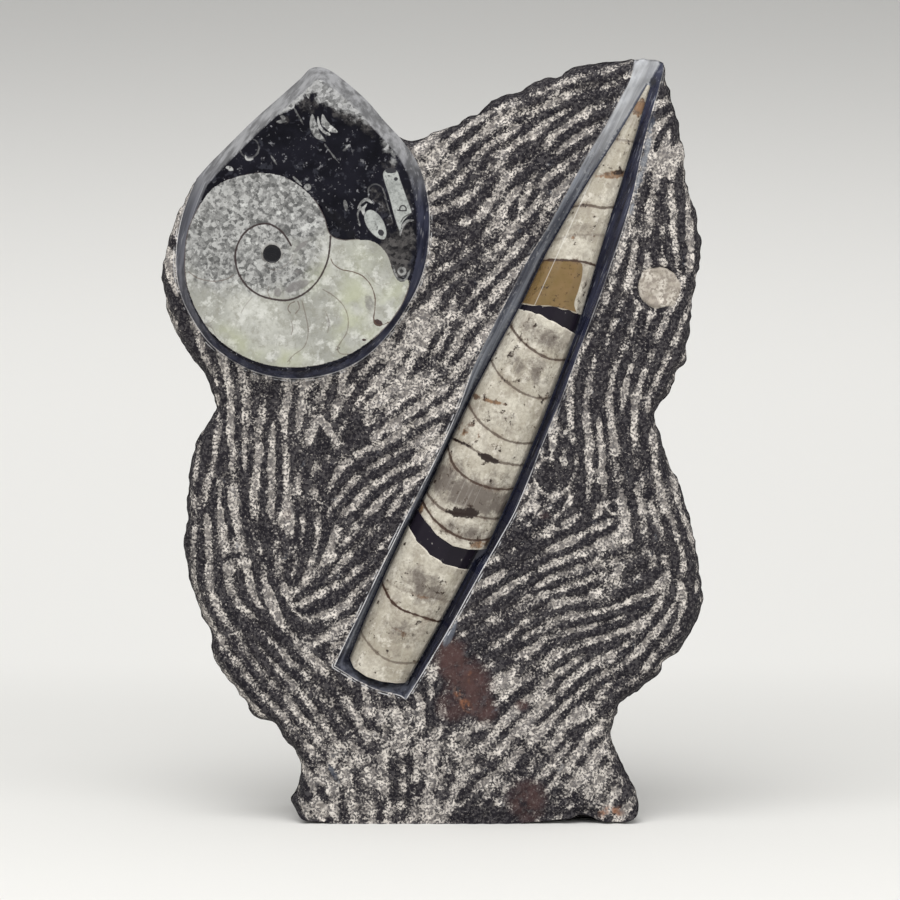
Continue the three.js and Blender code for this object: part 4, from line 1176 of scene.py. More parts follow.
# Each length: stations, ends, edges of its ground facets, chamber walls with how dark they are,
# rust, near-black stain, greyer calcite, and the brown chamber if it has one.
LENGTHS = {
    "long_shell_tip": dict(
        node="orthoceras_tip", stations=UPPER_SHELL, ends=(TIP_START, TIP_END),
        facets=(0, 14, 38, 72, 108, 140, 166, 180),
        septa=[(0.5, [(69, 269), (75, 268.2), (79, 267.6), (84, 268)]),
               (0.12, [(60, 257), (66, 255), (73, 256), (78, 257)]),
               (0.75, [(50, 241.6), (55, 242.4), (60, 243), (65.4, 242), (70, 242.2), (76, 244)]),
               (0.3, [(46, 229), (54, 231), (62, 231.4), (70, 231)]),
               (0.95, [(38, 220.4), (44, 221.5), (52, 221.5), (58, 221), (64, 219.3), (70, 216)])],
        rust=[(80.6, 281, 3.2, 2.4, 70, 1.2), (70, 254.8, 6, 1.6, 6, 1.0), (54.6, 230.4, 0.7, 0.6, 0, 0.8),
              (63, 231, 0.6, 0.5, 0, 0.9), (70.4, 244, 1.0, 1.9, 60, 0.35)],
        stain=[(72, 255.6, 3, 0.9, 10, 0.7)],
        grey=[(70, 243.5, 2.5, 2.5, 0, 0.4), (55, 232, 6, 3, 10, 0.25)],
        chamber=[(43, 221.2), (52, 221.3), (58, 220.4), (58.4, 216), (57, 210), (55.3, 204.7), (56, 199),
                 (33, 199), (33, 204)]),
    "long_shell_middle": dict(
        node="orthoceras_middle", stations=UPPER_SHELL, ends=(MIDDLE_START, MIDDLE_END),
        facets=(0, 16, 42, 70, 99, 126, 153, 180),
        septa=[(0.85, [(28, 201), (30, 197), (34, 191), (40, 186), (46, 183), (52, 182.5), (58, 183)]),
               (0.7, [(21, 187), (23, 182), (26, 177), (31, 172.5), (37, 169), (43, 167.5), (47, 168),
                      (52, 169)]),
               (0.75, [(11, 170), (14, 165), (18, 159), (24, 154), (30, 151), (36, 150), (41, 150),
                       (46, 151)]),
               (0.7, [(2, 154), (7, 152), (14, 149), (19, 146), (24, 143.5), (30, 142), (37, 141),
                      (42, 141)]),
               (0.9, [(4, 153), (6, 148), (8, 142), (13, 137), (20, 133.5), (27, 132), (33, 132),
                      (38, 133)]),
               (0.75, [(-5, 135), (-2, 130), (3, 125), (8, 123), (14, 122.5), (20, 121), (27, 120),
                       (32, 120)]),
               (0.95, [(-7, 132), (-4, 127), (0, 121), (6, 116), (12, 113), (20, 112), (23, 112.5),
                       (28, 114)])],
        rust=[(17.1, 168.2, 1.6, 1.2, -20, 0.9), (24.4, 166.2, 4.6, 0.8, -12, 0.9),
              (13.2, 155.8, 3.4, 2.2, 40, 0.6), (17.4, 153.6, 2.2, 1.2, 60, 0.5),
              (-4.6, 124.4, 0.9, 3.6, -12, 1.0), (19.4, 110.4, 4.4, 1.8, 14, 0.8),
              (28, 199, 1.6, 1.2, 0, 0.3), (42, 191, 1.5, 1, 0, 0.3)],
        stain=[(21.6, 144.4, 4.6, 1.3, -22, 1.0), (12.4, 122.9, 6.4, 1.9, -4, 1.0),
               (27, 120.6, 3.6, 0.7, -5, 0.6), (11, 150.4, 4.6, 0.5, -22, 0.7)],
        grey=[(44, 191.6, 8, 4.4, -25, 0.85), (37.6, 179, 8.5, 5, -25, 0.6), (4.5, 136, 8, 7.5, 60, 0.85),
              (17, 129, 13, 6.5, -14, 1.15), (27, 125, 7, 4, 0, 0.9), (12, 115.6, 11, 3.4, -15, 0.7),
              (30, 158, 9, 3.6, -20, 0.35), (28, 137, 7, 2.6, -10, 0.35)],
        chamber=None),
    "long_shell_base": dict(
        node="orthoceras_base", stations=BASE_SHELL, ends=(BASE_START, BASE_END),
        facets=(0, 20, 44, 74, 100, 132, 158, 180),
        septa=[(0.3, [(-20, 97), (-16.5, 95), (-12.3, 92.7), (-3.4, 90.9), (0.8, 89.5), (7, 87.5),
                      (11, 86)]),
               (1.0, [(-21, 97), (-19, 93), (-16, 88), (-12, 85), (-8, 83.5), (-4, 82), (0, 80.5),
                      (3, 79.5), (8, 80)]),
               (0.6, [(-30, 79), (-28, 75), (-24, 70), (-20, 66.5), (-14, 64), (-6, 63.5), (-1, 64)])],
        rust=[(-14.6, 77.4, 2.4, 0.7, -25, 0.55), (-11.4, 75.4, 1.8, 1.1, -40, 0.45),
              (-7.4, 64.1, 0.9, 0.5, 0, 0.7), (-3, 89.6, 5, 0.9, -18, 0.5)],
        stain=[(-7.4, 64.2, 1.0, 0.5, 0, 0.6)],
        grey=[(-3, 94, 9, 5.5, -35, 0.85), (-12, 76, 7, 4, -30, 0.55), (2, 84, 3.5, 5, -30, 0.5),
              (-17, 60.5, 7, 2, -15, 0.25)],
        chamber=None),
}


def long_shell_material():
    """Milky cream calcite, greyer inside each chamber, with brown chamber walls and rust."""
    material, tree, shader = new_material("milky_orthoceras_calcite")
    clouds = place_group(tree, calcite, {"Cloud Size": 8.0, "Crystal Size": 1.6})
    marks = place_group(tree, scratches, {"Turn": SHELL_LEAN_TURN, "Length": 26.0, "Width": 0.5})
    fine = noise(tree, 0.55, 2, 0.6)
    cream = blend(tree, clouds["Clouds"], (0.38, 0.345, 0.275, 1), (0.60, 0.565, 0.48, 1))
    cream = blend(tree, ramp(tree, fine, 0.4, 0.62, 0.0, 0.3), cream, (0.25, 0.21, 0.16, 1))
    dusty = ramp(tree, noise(tree, 3.4, 5, 0.7, offset=8.6), 0.47, 0.66, 0.0, 0.5)
    cream = blend(tree, dusty, cream, (0.245, 0.21, 0.175, 1))
    glint = ramp(tree, noise(tree, 1.9, 4, 0.7, offset=5.7), 0.54, 0.66, 0.0, 0.6)
    cream = blend(tree, glint, cream, (0.70, 0.66, 0.575, 1))
    greyer = plus(tree, layer(tree, "grey"), times(tree, noise(tree, 2.2, 5, 0.7), 2.2))
    greyer = ramp(tree, greyer, 1.15, 2.1, 0, 0.95)
    colour = blend(tree, greyer, cream, (0.125, 0.104, 0.088, 1))
    colour = blend(tree, times(tree, marks["Scratches"], 0.12), colour, (0.78, 0.75, 0.68, 1))
    olive = blend(tree, noise(tree, 2.2, 4, 0.65), (0.235, 0.145, 0.07, 1), (0.125, 0.088, 0.022, 1))
    olive = blend(tree, ramp(tree, noise(tree, 0.8, 2, 0.6, offset=4.4), 0.6, 0.72, 0, 0.6), olive,
                  (0.06, 0.03, 0.012, 1))
    colour = blend(tree, ramp(tree, layer(tree, "chamber"), 0.35, 0.65), colour, olive)
    ragged = noise(tree, 1.5, 4, 0.68, offset=2.2)
    rust = plus(tree, layer(tree, "rust"), times(tree, ragged, 3.0))
    depth_of_rust = ramp(tree, noise(tree, 2.0, 3, 0.6, offset=9.2), 0.4, 0.6)
    rusty = blend(tree, depth_of_rust, (0.21, 0.112, 0.052, 1), (0.085, 0.045, 0.026, 1))
    colour = blend(tree, ramp(tree, rust, 1.75, 2.35, 0, 0.9), colour, rusty)
    wall = calculate(tree, "ABSOLUTE", layer(tree, "septum_mm"))
    wobble = uneven(tree, 1.3, 3, 0.65, offset=6.0, reach=1.3)
    wall = plus(tree, wall, wobble)
    halo = times(tree, ramp(tree, wall, 0.3, 1.9, 0.5, 0.0), layer(tree, "septum_dark"))
    halo = times(tree, halo, ramp(tree, ragged, 0.42, 0.6))
    colour = blend(tree, halo, colour, (0.16, 0.105, 0.07, 1))
    shown = times(tree, ramp(tree, wall, 0.25, 0.66, 1.0, 0.0), layer(tree, "septum_dark"))
    colour = blend(tree, shown, colour, (0.045, 0.022, 0.014, 1))
    stain = plus(tree, layer(tree, "stain"), times(tree, ragged, 3.2))
    colour = blend(tree, ramp(tree, stain, 1.85, 2.25, 0, 0.97), colour, (0.014, 0.006, 0.004, 1))
    # Painted highlight: a thin near-white line along one facet edge of the tip, where the light catches it.
    edge = ramp(tree, calculate(tree, "ABSOLUTE", layer(tree, "facet_mm")), 0.06, 0.26, 0.28, 0.0)
    colour = blend(tree, edge, colour, (0.93, 0.92, 0.88, 1))
    lip = ramp(tree, layer(tree, "end_mm"), 0.25, 0.7, 0.6, 0.0)
    colour = blend(tree, lip, colour, (0.75, 0.70, 0.60, 1))
    tree.links.new(colour, shader.inputs["Base Color"])
    tree.links.new(ramp(tree, clouds["Clouds"], 0, 1, 0.42, 0.27), shader.inputs["Roughness"])
    shader.inputs["Specular IOR Level"].default_value = 0.3
    add_bump(tree, shader, wall, 0.35, 0.0002)
    return material


orthoceras_calcite = long_shell_material()
for name, made in LENGTHS.items():
    corners, faces, down, across, to_end = shell_corners(
        made["stations"], made["ends"][0], made["ends"][1], made["facets"], 0.45)
    plan = corners[:, [0, 2]]
    septum, dark = septum_layers(plan, down, across, made["septa"])
    chamber = np.zeros(len(plan))
    if made["chamber"]:
        loop = smooth_path(made["chamber"], 1.0, closed=True)
        edge_mm = np.where(inside(plan, loop), 1, -1) * distance_to(plan, loop, closed=True)[0]
        chamber = np.clip(0.5 + edge_mm, 0, 1)
    # Distance to one facet edge of the tip, along which a painted highlight is drawn.
    facet_highlight_mm = across + 5.2 if name == "long_shell_tip" else np.full(len(plan), 9.0)
    length = make_piece(name, corners, faces, layers={
        "septum_mm": np.clip(septum, -4, 4), "septum_dark": dark,
        "rust": patch_layer(plan, made["rust"]), "stain": patch_layer(plan, made["stain"]),
        "grey": patch_layer(plan, made["grey"], soft=0.2), "chamber": chamber,
        "facet_mm": np.where(down > 42, facet_highlight_mm, 9.0), "end_mm": to_end})
    length.data.materials.append(orthoceras_calcite)
    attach(length, "root")
    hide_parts(made["node"])

# Black mudstone that filled the two breaks, ground down and polished with the shell.
BREAKS = {
    "break_rock_upper": (UPPER_SHELL, TIP_END, MIDDLE_START, (0, 30, 62, 92, 122, 152, 180)),
    "break_rock_lower": (BASE_SHELL, MIDDLE_END, BASE_START, (0, 20, 50, 80, 105, 135, 158, 180)),
}


def break_material():
    """Dense black mudstone with a few pale shell grains, polished."""
    material, tree, shader = new_material("polished_black_mudstone")
    dark = blend(tree, noise(tree, 5, 3), (0.006, 0.005, 0.009, 1), (0.017, 0.013, 0.020, 1))
    white = ramp(tree, noise(tree, 1.0, 2, 0.6), 0.69, 0.74, 0, 0.6)
    tree.links.new(blend(tree, white, dark, (0.4, 0.38, 0.36, 1)), shader.inputs["Base Color"])
    shader.inputs["Roughness"].default_value = 0.28
    shader.inputs["Specular IOR Level"].default_value = 0.15
    return material


black_mudstone = break_material()
for name, (stations, start, end, edges) in BREAKS.items():
    start = [(d - 0.5, t) for d, t in start]
    end = [(d + 0.5, t) for d, t in end]
    corners, faces, *_ = shell_corners(stations, start, end, edges, 0.6, shrink=0.3)
    fill = make_piece(name, corners, faces)
    fill.data.materials.append(black_mudstone)
    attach(fill, "root")

# ---------------------------------------------------------------------------------------------
# The coiled shell: a goniatite cut through its middle and polished level with the boss. Its
# chambers are filled with calcite, glassy and grey inside, milky and faintly green outside.

GONIATITE_OUTLINE = [
    (-39.5, 231.5), (-35, 229.6), (-29, 229.8), (-24, 229.4), (-20, 227.2), (-16.9, 223),
    (-15.4, 218.4), (-13.6, 214.4), (-11.8, 213.4), (-10, 214.4), (-9, 213.6), (-9.2, 210.5),
    (-12, 203.8), (-17, 196.8), (-24, 190), (-33, 184.3), (-44, 180.6), (-55, 179.6), (-66, 181),
    (-77, 185.8), (-86, 193), (-92, 202), (-95.6, 212), (-96.4, 222), (-95, 233), (-91, 242),
    (-87, 248), (-82, 251.8), (-75, 254.3), (-67, 255.6), (-59, 254.6), (-52, 251), (-46, 245.5),
    (-42, 238.5),
]
SPIRAL = [
    (-54.9, 227.2), (-57.2, 231), (-60.6, 234.2), (-64, 235.6), (-68.6, 235), (-72.6, 232.4),
    (-75.2, 228.6), (-76.6, 223.6), (-75.6, 217.2), (-72.4, 211.8), (-67.7, 208.2), (-62, 206.4),
    (-55.8, 206.1), (-49.8, 208.6), (-44.4, 213.8), (-41, 220.6), (-39.8, 227), (-39.6, 231.2),
]
EYE = np.array([-62.3, 224.0])
EYE_RADIUS = 3.6
# Edges between chambers, with how dark each shows.
SUTURES = [
    (0.9, [(-39.4, 222), (-38.6, 220.2), (-35.3, 217.9), (-31.3, 217.1), (-27.2, 215.4), (-24, 211.8),
           (-22.4, 207.3), (-22.4, 202.5), (-22.8, 198.4), (-21.6, 196.4), (-18.7, 196.7), (-15.9, 198.2)]),
    (0.55, [(-42.6, 210.2), (-38.6, 207.8), (-34.5, 203.7), (-32.8, 198.8), (-33.3, 193.6), (-35.8, 189.5),
            (-37, 187.1), (-35.8, 185.3), (-31.3, 185)]),
    (0.5, [(-50.7, 205.7), (-49.1, 199.3), (-48.3, 193.6), (-49.9, 187.9), (-54, 184.7), (-56.4, 182)]),
    (0.6, [(-94.8, 217.1), (-91.2, 214.6), (-85.5, 213.4), (-79.9, 214.2), (-77.4, 215.8)]),
    (0.6, [(-52.3, 205.7), (-51.7, 202.9), (-53.2, 200.9)]),
    (0.7, [(-53.6, 205.4), (-55.3, 204.6), (-56.2, 202.6), (-55.2, 201)]),
    (0.5, [(-54.8, 197.6), (-54.3, 195), (-54.9, 192.6)]),
    (0.3, [(-66, 219.6), (-62.4, 217.8), (-58.6, 218.6), (-55.6, 221), (-54.2, 223.6)]),
    (0.45, [(-62.9, 206.6), (-64, 209), (-63.6, 211.2)]),
    (0.3, [(-70, 207.2), (-73, 203.6), (-74.4, 201)]),
    (0.35, [(-90, 197.4), (-86, 195.4), (-84, 192)]),
    (0.35, [(-41.6, 201.6), (-40.2, 197.6), (-40.8, 193.4)]),
    (0.25, [(-25.8, 216.8), (-21, 212), (-16.4, 212.6)]),
]


def flat_inlay(outline, lines, front_y, depth, spacing, seed):
    """A fossil cut level with the stone: a face over an outline, straight sides and a flat back.
    Returns the piece's corners, faces and how many corners lie on its face."""
    face, triangles, rim = fill_outline(outline, lines, spacing, seed)
    count = len(face)
    lip = 0.12 * np.clip(1 - distance_to(face, outline, closed=True)[0] / 0.25, 0, 1)
    front = np.column_stack([face[:, 0], front_y(face) + lip, face[:, 1]])
    middle = outline.mean(0)
    rear = outline + (middle - outline) * 0.03
    back, back_triangles, back_rim = fill_outline(rear, [], spacing * 4, seed + 1)
    back = np.column_stack([back[:, 0], np.full(len(back), front_y(face[:1])[0] + depth), back[:, 1]])
    far = count + back_rim
    sides = np.vstack([
        np.column_stack([rim, far, np.roll(rim, -1)]),
        np.column_stack([np.roll(rim, -1), far, np.roll(far, -1)])])
    faces = np.vstack([triangles, sides, back_triangles[:, ::-1] + count])
    return np.vstack([front, back]), faces, count


INLAY_PROUD = 0.05


def level_face(points):
    """A face polished level with the boss, a hair in front of it."""
    return np.full(len(points), BOSS_Y - INLAY_PROUD)


def nearest_line(points, lines):
    """Distance to the nearest of several lines and how strongly that one shows."""
    best, shown = np.full(len(points), 20.0), np.zeros(len(points))
    for strength, line in lines:
        apart, _ = distance_to(points, line)
        shown = np.where(apart < best, strength, shown)
        best = np.minimum(best, apart)
    return best, shown


goniatite_edge = smooth_path(GONIATITE_OUTLINE, 0.7, closed=True)
spiral = smooth_path(SPIRAL, 0.5)
spiral = spiral[distance_to(spiral, goniatite_edge, closed=True)[0] > 0.45]
turn = np.linspace(0, 2 * math.pi, 48, endpoint=False)
eye_ring = EYE + EYE_RADIUS * np.column_stack([np.cos(turn), np.sin(turn)])
sutures = [(shown, keep_clear(smooth_path(line, 0.5), goniatite_edge, 0.45)) for shown, line in SUTURES]
eye_loop = np.vstack([eye_ring, eye_ring[:1]])
corners, faces, face_count = flat_inlay(
    goniatite_edge, [spiral, eye_loop] + [line for _, line in sutures],
    level_face, depth=6.0, spacing=0.62, seed=41)
plan = corners[:, [0, 2]]
to_spiral, _ = distance_to(plan, spiral)
to_suture, suture_shown = nearest_line(plan, sutures)
to_outline, _ = distance_to(plan, goniatite_edge, closed=True)
from_eye = np.hypot(*(plan - EYE).T)
groove = 0.10 * np.exp(-(to_spiral / 0.4) ** 2) + 0.05 * suture_shown * np.exp(-(to_suture / 0.3) ** 2)
corners[:face_count, 1] += (groove + 0.35 * (1 - ease(from_eye, EYE_RADIUS - 0.5, EYE_RADIUS)))[:face_count]
clear_stone = patch_layer(plan, [
    (-80, 236, 26, 24, 30, 1.0), (-64, 244, 26, 14, -20, 1.0), (-66, 224, 13, 15, 0, 0.95),
    (-50, 230, 10, 18, 0, 0.55), (-52, 214, 9, 7, 20, 0.7)], soft=0.25)
green = patch_layer(plan, [
    (-31, 203, 6, 15, -12, 1.0), (-14, 205, 6, 9, -30, 0.8), (-45, 215, 7, 4, 50, 0.55),
    (-76, 190, 9, 3.5, -40, 0.8),
    (-60, 183.6, 12, 3.4, 0, 0.9), (-29, 190, 8, 3, 25, 0.9), (-27, 222, 8, 6, 0, 0.35)], soft=0.2)
dull = patch_layer(plan, [
    (-52.6, 211.6, 5.4, 2.0, 22, 0.9), (-60.2, 209, 1.5, 1.9, 0, 1.0), (-51, 227, 3.4, 0.9, 38, 1.0),
    (-51.6, 216.6, 3, 1.4, -40, 0.5), (-24.6, 205, 2.2, 4, 10, 0.6), (-88, 197, 3, 2.2, -30, 0.55),
    (-40.4, 197, 1.0, 2.4, 15, 0.6), (-46, 217, 4.6, 3, 10, 0.4), (-42, 222, 2.4, 5, 10, 0.25)])
dark_spots = patch_layer(plan, [
    (-21.2, 197.2, 2.0, 1.4, -30, 1.0), (-26.4, 190.6, 1.2, 0.6, 0, 0.8),
    (-37, 187.2, 1.4, 1.2, 0, 0.6),
    (-55.8, 182, 1.2, 1.6, 0, 0.5)])


def goniatite_material():
    """Cut calcite: glassy grey crystals with dark flecks, turning milky and pale green."""
    material, tree, shader = new_material("polished_goniatite_calcite")
    clouds = place_group(tree, calcite, {"Cloud Size": 9.0, "Crystal Size": 1.5})
    glassy = layer(tree, "clear_stone")
    flecks = noise(tree, 0.95, 3, 0.62, offset=9.0)
    shards = noise(tree, 2.4, 3, 0.7, offset=5.1)
    milky = blend(tree, clouds["Clouds"], (0.30, 0.30, 0.268, 1), (0.49, 0.49, 0.445, 1))
    crystal = blend(tree, clouds["Crystals"], (0.085, 0.085, 0.083, 1), (0.42, 0.42, 0.405, 1))
    patchy = plus(tree, times(tree, noise(tree, 6, 3, 0.6, offset=1.0), 1.2), 0.5)
    share = ramp(tree, times(tree, glassy, patchy), 0.2, 0.8)
    crackle = ramp(tree, noise(tree, 1.5, 5, 0.72, offset=6.6), 0.46, 0.62, 0.0, 0.6)
    milky = blend(tree, crackle, milky, (0.245, 0.24, 0.20, 1))
    frost = ramp(tree, noise(tree, 2.6, 4, 0.7, offset=12.4), 0.52, 0.64, 0.0, 0.7)
    milky = blend(tree, frost, milky, (0.60, 0.60, 0.56, 1))
    colour = blend(tree, share, milky, crystal)
    dark_fleck = times(tree, ramp(tree, flecks, 0.53, 0.66), ramp(tree, share, 0, 1, 0.12, 0.75))
    colour = blend(tree, dark_fleck, colour, (0.060, 0.060, 0.060, 1))
    bright = times(tree, ramp(tree, shards, 0.60, 0.68), ramp(tree, share, 0, 1, 0.3, 0.7))
    colour = blend(tree, bright, colour, (0.60, 0.605, 0.58, 1))
    tint = times(tree, layer(tree, "green"), ramp(tree, noise(tree, 4, 2, offset=3.0), 0.3, 0.6))
    colour = blend(tree, times(tree, tint, 0.75), colour, (0.42, 0.435, 0.305, 1))
    ragged = times(tree, noise(tree, 0.9, 3, 0.65, offset=2.0), 0.8)
    dulled = ramp(tree, plus(tree, layer(tree, "dull"), ragged), 0.75, 1.15, 0, 0.75)
    colour = blend(tree, dulled, colour, (0.17, 0.16, 0.155, 1))
    spots = ramp(tree, plus(tree, layer(tree, "dark_spots"), ragged), 0.85, 1.1)
    colour = blend(tree, spots, colour, (0.05, 0.03, 0.028, 1))
    wobble = uneven(tree, 0.8, 2, 0.6, reach=0.5)
    line = plus(tree, layer(tree, "spiral_mm"), wobble)
    colour = blend(tree, ramp(tree, line, 0.22, 0.52, 0.95, 0), colour, (0.03, 0.018, 0.018, 1))
    seam = plus(tree, layer(tree, "suture_mm"), wobble)
    seam = times(tree, ramp(tree, seam, 0.08, 0.34, 1, 0), layer(tree, "suture_dark"))
    colour = blend(tree, seam, colour, (0.09, 0.055, 0.04, 1))
    rim = plus(tree, layer(tree, "edge_mm"), wobble)
    colour = blend(tree, ramp(tree, rim, 0.18, 0.5, 0.85, 0), colour, (0.05, 0.03, 0.03, 1))
    core = layer(tree, "eye_mm")
    halo = times(tree, ramp(tree, core, 3.7, 4.8, 0.5, 0), shards)
    colour = blend(tree, halo, colour, (0.12, 0.10, 0.08, 1))
    colour = blend(tree, ramp(tree, core, 3.45, 3.65, 1, 0), colour, (0.004, 0.004, 0.006, 1))
    tree.links.new(colour, shader.inputs["Base Color"])
    tree.links.new(ramp(tree, clouds["Crystals"], 0, 1, 0.30, 0.20), shader.inputs["Roughness"])
    shader.inputs["Specular IOR Level"].default_value = 0.3
    return material


coiled = make_piece("coiled_shell", corners, faces, layers={
    "spiral_mm": np.minimum(to_spiral, 5), "suture_mm": np.minimum(to_suture, 5),
    "suture_dark": suture_shown, "edge_mm": np.minimum(to_outline, 5), "eye_mm": np.minimum(from_eye, 9),
    "clear_stone": clear_stone, "green": green, "dull": dull, "dark_spots": dark_spots})
coiled.data.materials.append(goniatite_material())
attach(coiled, "root")
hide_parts("goniatite_shell")

# ---------------------------------------------------------------------------------------------
# Two small cut shells beside the goniatite: a straight one with chamber marks and the oval
# section of another, both pale grey calcite, level with the polished boss.

STRAIGHT_SHELL = [
    (-19.4, 255.2), (-18, 257), (-15.6, 257.4), (-13.6, 256.4), (-12.2, 252.6), (-10.2, 247),
    (-8.4, 242), (-7.9, 239.8), (-9.6, 238.2), (-11.4, 236), (-12.5, 232), (-14.4, 236.4), (-17, 246),
]
OVAL_SHELL = dict(x=-22.0, z=235.2, long=6.7, short=3.5, lean=-58.5)
STRAIGHT_MARKS = [
    (1.0, [(-13.5, 240.9), (-12.2, 240.7), (-10.2, 240.7)]),
    (1.0, [(-12.7, 240.8), (-12.6, 241.9), (-12, 242.6), (-11, 242.6), (-10.3, 241.8), (-10.2, 240.8)]),
    (0.8, [(-12.2, 236.4), (-11.2, 238), (-9.6, 239), (-8.4, 239.6)]),
]
oval_points = np.array([OVAL_SHELL["x"], OVAL_SHELL["z"]]) + np.column_stack([
    OVAL_SHELL["long"] * np.cos(turn), OVAL_SHELL["short"] * np.sin(turn) * (1 - 0.12 * np.cos(turn))
]) @ np.array([
    [math.cos(math.radians(OVAL_SHELL["lean"])), math.sin(math.radians(OVAL_SHELL["lean"]))],
    [-math.sin(math.radians(OVAL_SHELL["lean"])), math.cos(math.radians(OVAL_SHELL["lean"]))]])


def small_shell_material():
    """Pale grey calcite with a dark outline and a few dark grains."""
    material, tree, shader = new_material("polished_pale_shell")
    clouds = place_group(tree, calcite, {"Cloud Size": 2.6, "Crystal Size": 0.8})
    colour = blend(tree, clouds["Clouds"], (0.21, 0.22, 0.21, 1), (0.40, 0.415, 0.395, 1))
    colour = blend(tree, times(tree, clouds["Crystals"], 0.35), colour, (0.50, 0.52, 0.49, 1))
    dusty = ramp(tree, noise(tree, 0.8, 4, 0.7, offset=7.3), 0.48, 0.66, 0, 0.65)
    colour = blend(tree, dusty, colour, (0.13, 0.135, 0.13, 1))
    ragged = times(tree, noise(tree, 0.9, 3, 0.65, offset=2.0), 0.8)
    spots = ramp(tree, plus(tree, layer(tree, "dark_spots"), ragged), 0.85, 1.1)
    colour = blend(tree, spots, colour, (0.02, 0.02, 0.024, 1))
    marks = times(tree, ramp(tree, layer(tree, "mark_mm"), 0.15, 0.38, 1, 0), layer(tree, "mark_dark"))
    colour = blend(tree, marks, colour, (0.03, 0.028, 0.03, 1))
    rim = ramp(tree, layer(tree, "edge_mm"), 0.2, 0.5, 0.9, 0)
    colour = blend(tree, rim, colour, (0.02, 0.018, 0.022, 1))
    tree.links.new(colour, shader.inputs["Base Color"])
    shader.inputs["Roughness"].default_value = 0.26
    return material


pale_shell = small_shell_material()
for name, node, outline, marks, spots in (
    ("straight_shell", "small_straight_shell", smooth_path(STRAIGHT_SHELL, 0.4, closed=True), STRAIGHT_MARKS,
     [(-14.2, 253, 0.9, 0.9, -40, 0.8), (-16.2, 256.2, 2.4, 1.2, 0, 1.0),
      (-16.8, 254.2, 1.2, 0.5, 0, 0.6)]),
    ("oval_shell", "small_oval_shell", oval_points,
     [(0.35, [(-22.2, 235.6), (-21.4, 234.4), (-21.6, 233.4)])],
     [(-20, 232.2, 1.5, 1.2, -50, 0.9), (-21.4, 234.2, 0.5, 0.8, 0, 0.6)])):
    lines = [(shown, smooth_path(line, 0.3)) for shown, line in marks]
    lines = [(shown, keep_clear(line, outline, 0.3)) for shown, line in lines]
    corners, faces, face_count = flat_inlay(
        outline, [line for _, line in lines], level_face, depth=4.5, spacing=0.34, seed=51)
    plan = corners[:, [0, 2]]
    mark_mm, mark_dark = nearest_line(plan, lines)
    small = make_piece(name, corners, faces, layers={
        "mark_mm": np.minimum(mark_mm, 4), "mark_dark": mark_dark,
        "edge_mm": distance_to(plan, outline, closed=True)[0], "dark_spots": patch_layer(plan, spots)})
    small.data.materials.append(pale_shell)
    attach(small, "root")
    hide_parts(node)

# ---------------------------------------------------------------------------------------------
# A disc from the stem of a sea lily, in the rough face near the right edge: cream calcite, with
# a worn, pitted surface and a low raised ring, broken level with the struck rock round it.

disc_reach = DISC_RADIUS * (1 + 0.05 * np.cos(2 * turn + 1) + 0.02 * np.cos(7 * turn))
disc_outline = smooth_path(DISC_MIDDLE + disc_reach[::-1, None] * np.column_stack(
    [np.cos(turn[::-1]), np.sin(turn[::-1])]), 0.6, closed=True)


def disc_face(points):
    """A pitted face with a raised ring and a sunken middle."""
    reach = np.hypot(*(points - DISC_MIDDLE).T) / DISC_RADIUS
    ring = 0.35 * np.exp(-((reach - 0.78) / 0.14) ** 2)
    pits = 0.9 * mottle(61, points, 2.3) + 0.5 * mottle(62, points, 1.1)
    hub = 0.3 * np.exp(-((reach * DISC_RADIUS - 1.3) / 0.45) ** 2)
    return FACE_Y - 0.55 - ring - hub + pits * 0.8 + 0.7 * ease(reach, 0.86, 1.0)


def disc_material():
    """Weathered cream calcite with grey-brown pits."""
    material, tree, shader = new_material("weathered_crinoid_calcite")
    grains = place_group(tree, grain, {"Grain Size": 0.8, "Coverage": 0.6})
    cloudy = ramp(tree, noise(tree, 3, 3, 0.6), 0.35, 0.65)
    cream = blend(tree, cloudy, (0.34, 0.30, 0.25, 1), (0.62, 0.575, 0.505, 1))
    colour = blend(tree, grains["Specks"], (0.27, 0.235, 0.20, 1), cream)
    tree.links.new(colour, shader.inputs["Base Color"])
    add_bump(tree, shader, grains["Height"], 0.5, 0.0003)
    shader.inputs["Roughness"].default_value = 0.8
    return material


corners, faces, face_count = flat_inlay(disc_outline, [], disc_face, depth=5.0, spacing=0.5, seed=63)
disc = make_piece("stem_disc", corners, faces)
disc.data.materials.append(disc_material())
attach(disc, "root")
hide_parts("crinoid_disc")

# ---------------------------------------------------------------------------------------------
# Studio: a pale floor that sweeps up behind, a broad lamp above and softer light in front.

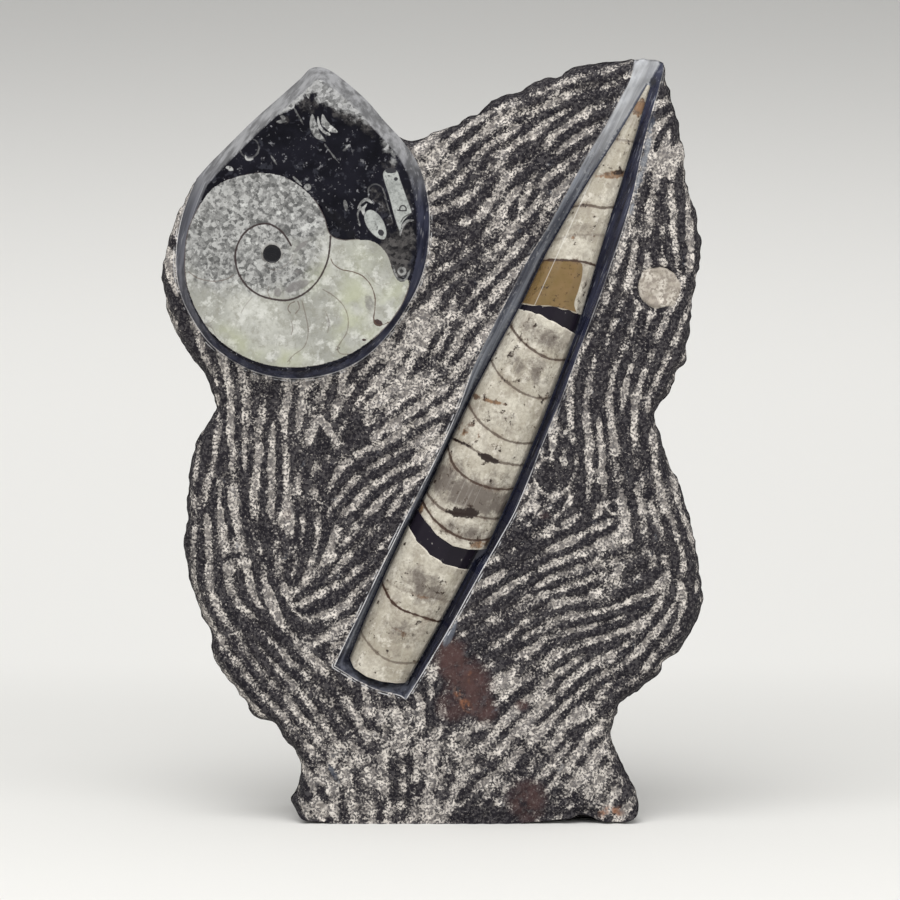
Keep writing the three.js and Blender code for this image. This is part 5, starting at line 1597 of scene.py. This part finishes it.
floor_mesh = bpy.data.meshes.new("studio_floor")
SWEEP_RADIUS = 1.7
SWEEP_START = 0.25
sweep = [(-3.0, 0.0)] + [
    (SWEEP_START + SWEEP_RADIUS * math.sin(a), SWEEP_RADIUS * (1 - math.cos(a)))
    for a in np.linspace(0, math.pi / 2, 40)] + [(SWEEP_START + SWEEP_RADIUS, 4.0)]
floor_mesh.from_pydata(
    [(x, y, z) for y, z in sweep for x in (-4, 4)], [],
    [(2 * i, 2 * i + 1, 2 * i + 3, 2 * i + 2) for i in range(len(sweep) - 1)])
floor_mesh.polygons.foreach_set("use_smooth", [True] * len(floor_mesh.polygons))
studio_floor = bpy.data.objects.new("studio_floor", floor_mesh)
bpy.context.scene.collection.objects.link(studio_floor)
paper, paper_tree, paper_shader = new_material("pale_paper")
height = add_node(paper_tree, "ShaderNodeSeparateXYZ", {
    "Vector": add_node(paper_tree, "ShaderNodeTexCoord").outputs["Object"]}).outputs["Z"]
# The floor is a little darker than the foot of the sweep, and the sweep is painted darker towards its top as
# painted shade, where less lamp light reaches it.
off_floor = ramp(paper_tree, height, -0.002, 0.012)
paper_colour = blend(paper_tree, off_floor, (0.80, 0.792, 0.76, 1), (0.86, 0.852, 0.82, 1))
painted_shade_high_up = ramp(paper_tree, height, 0.12, 0.52)
paper_colour = blend(paper_tree, painted_shade_high_up, paper_colour, (0.47, 0.466, 0.45, 1))
paper_tree.links.new(paper_colour, paper_shader.inputs["Base Color"])
paper_shader.inputs["Roughness"].default_value = 0.9
floor_mesh.materials.append(paper)


def add_lamp(name, place, aim, size, power):
    lamp = bpy.data.lights.new(name, "AREA")
    lamp.shape = "RECTANGLE"
    lamp.size, lamp.size_y = size
    lamp.energy = power
    holder = bpy.data.objects.new(name, lamp)
    holder.location = place
    holder.rotation_euler = (Vector(aim) - Vector(place)).to_track_quat("-Z", "Y").to_euler()
    bpy.context.scene.collection.objects.link(holder)


add_lamp("top_lamp", (-0.35, -0.9, 1.5), (0, 0, 0.15), (1.7, 1.3), 21)
add_lamp("side_lamp", (1.3, -1.1, 0.7), (0, 0, 0.15), (1.4, 1.2), 7)
world = bpy.data.worlds.new("studio_air")
world.use_nodes = True
world.node_tree.nodes["Background"].inputs["Color"].default_value = (0.93, 0.93, 0.94, 1)
world.node_tree.nodes["Background"].inputs["Strength"].default_value = 0.73
bpy.context.scene.world = world
bpy.context.scene.view_settings.view_transform = "Standard"

CAMERA_DISTANCE = 1.3
CAMERA_RISE = math.radians(3)
camera_data = bpy.data.cameras.new("camera")
camera_data.sensor_width = 36
camera_data.lens = 36 * CAMERA_DISTANCE / 0.3516
camera = bpy.data.objects.new("camera", camera_data)
aim = Vector((0.0068, -0.024, 0.1475))
camera.location = aim + CAMERA_DISTANCE * Vector((0, -math.cos(CAMERA_RISE), math.sin(CAMERA_RISE)))
camera.rotation_euler = (aim - camera.location).to_track_quat("-Z", "Y").to_euler()
bpy.context.scene.collection.objects.link(camera)
bpy.context.scene.camera = camera

bpy.context.view_layer.update()
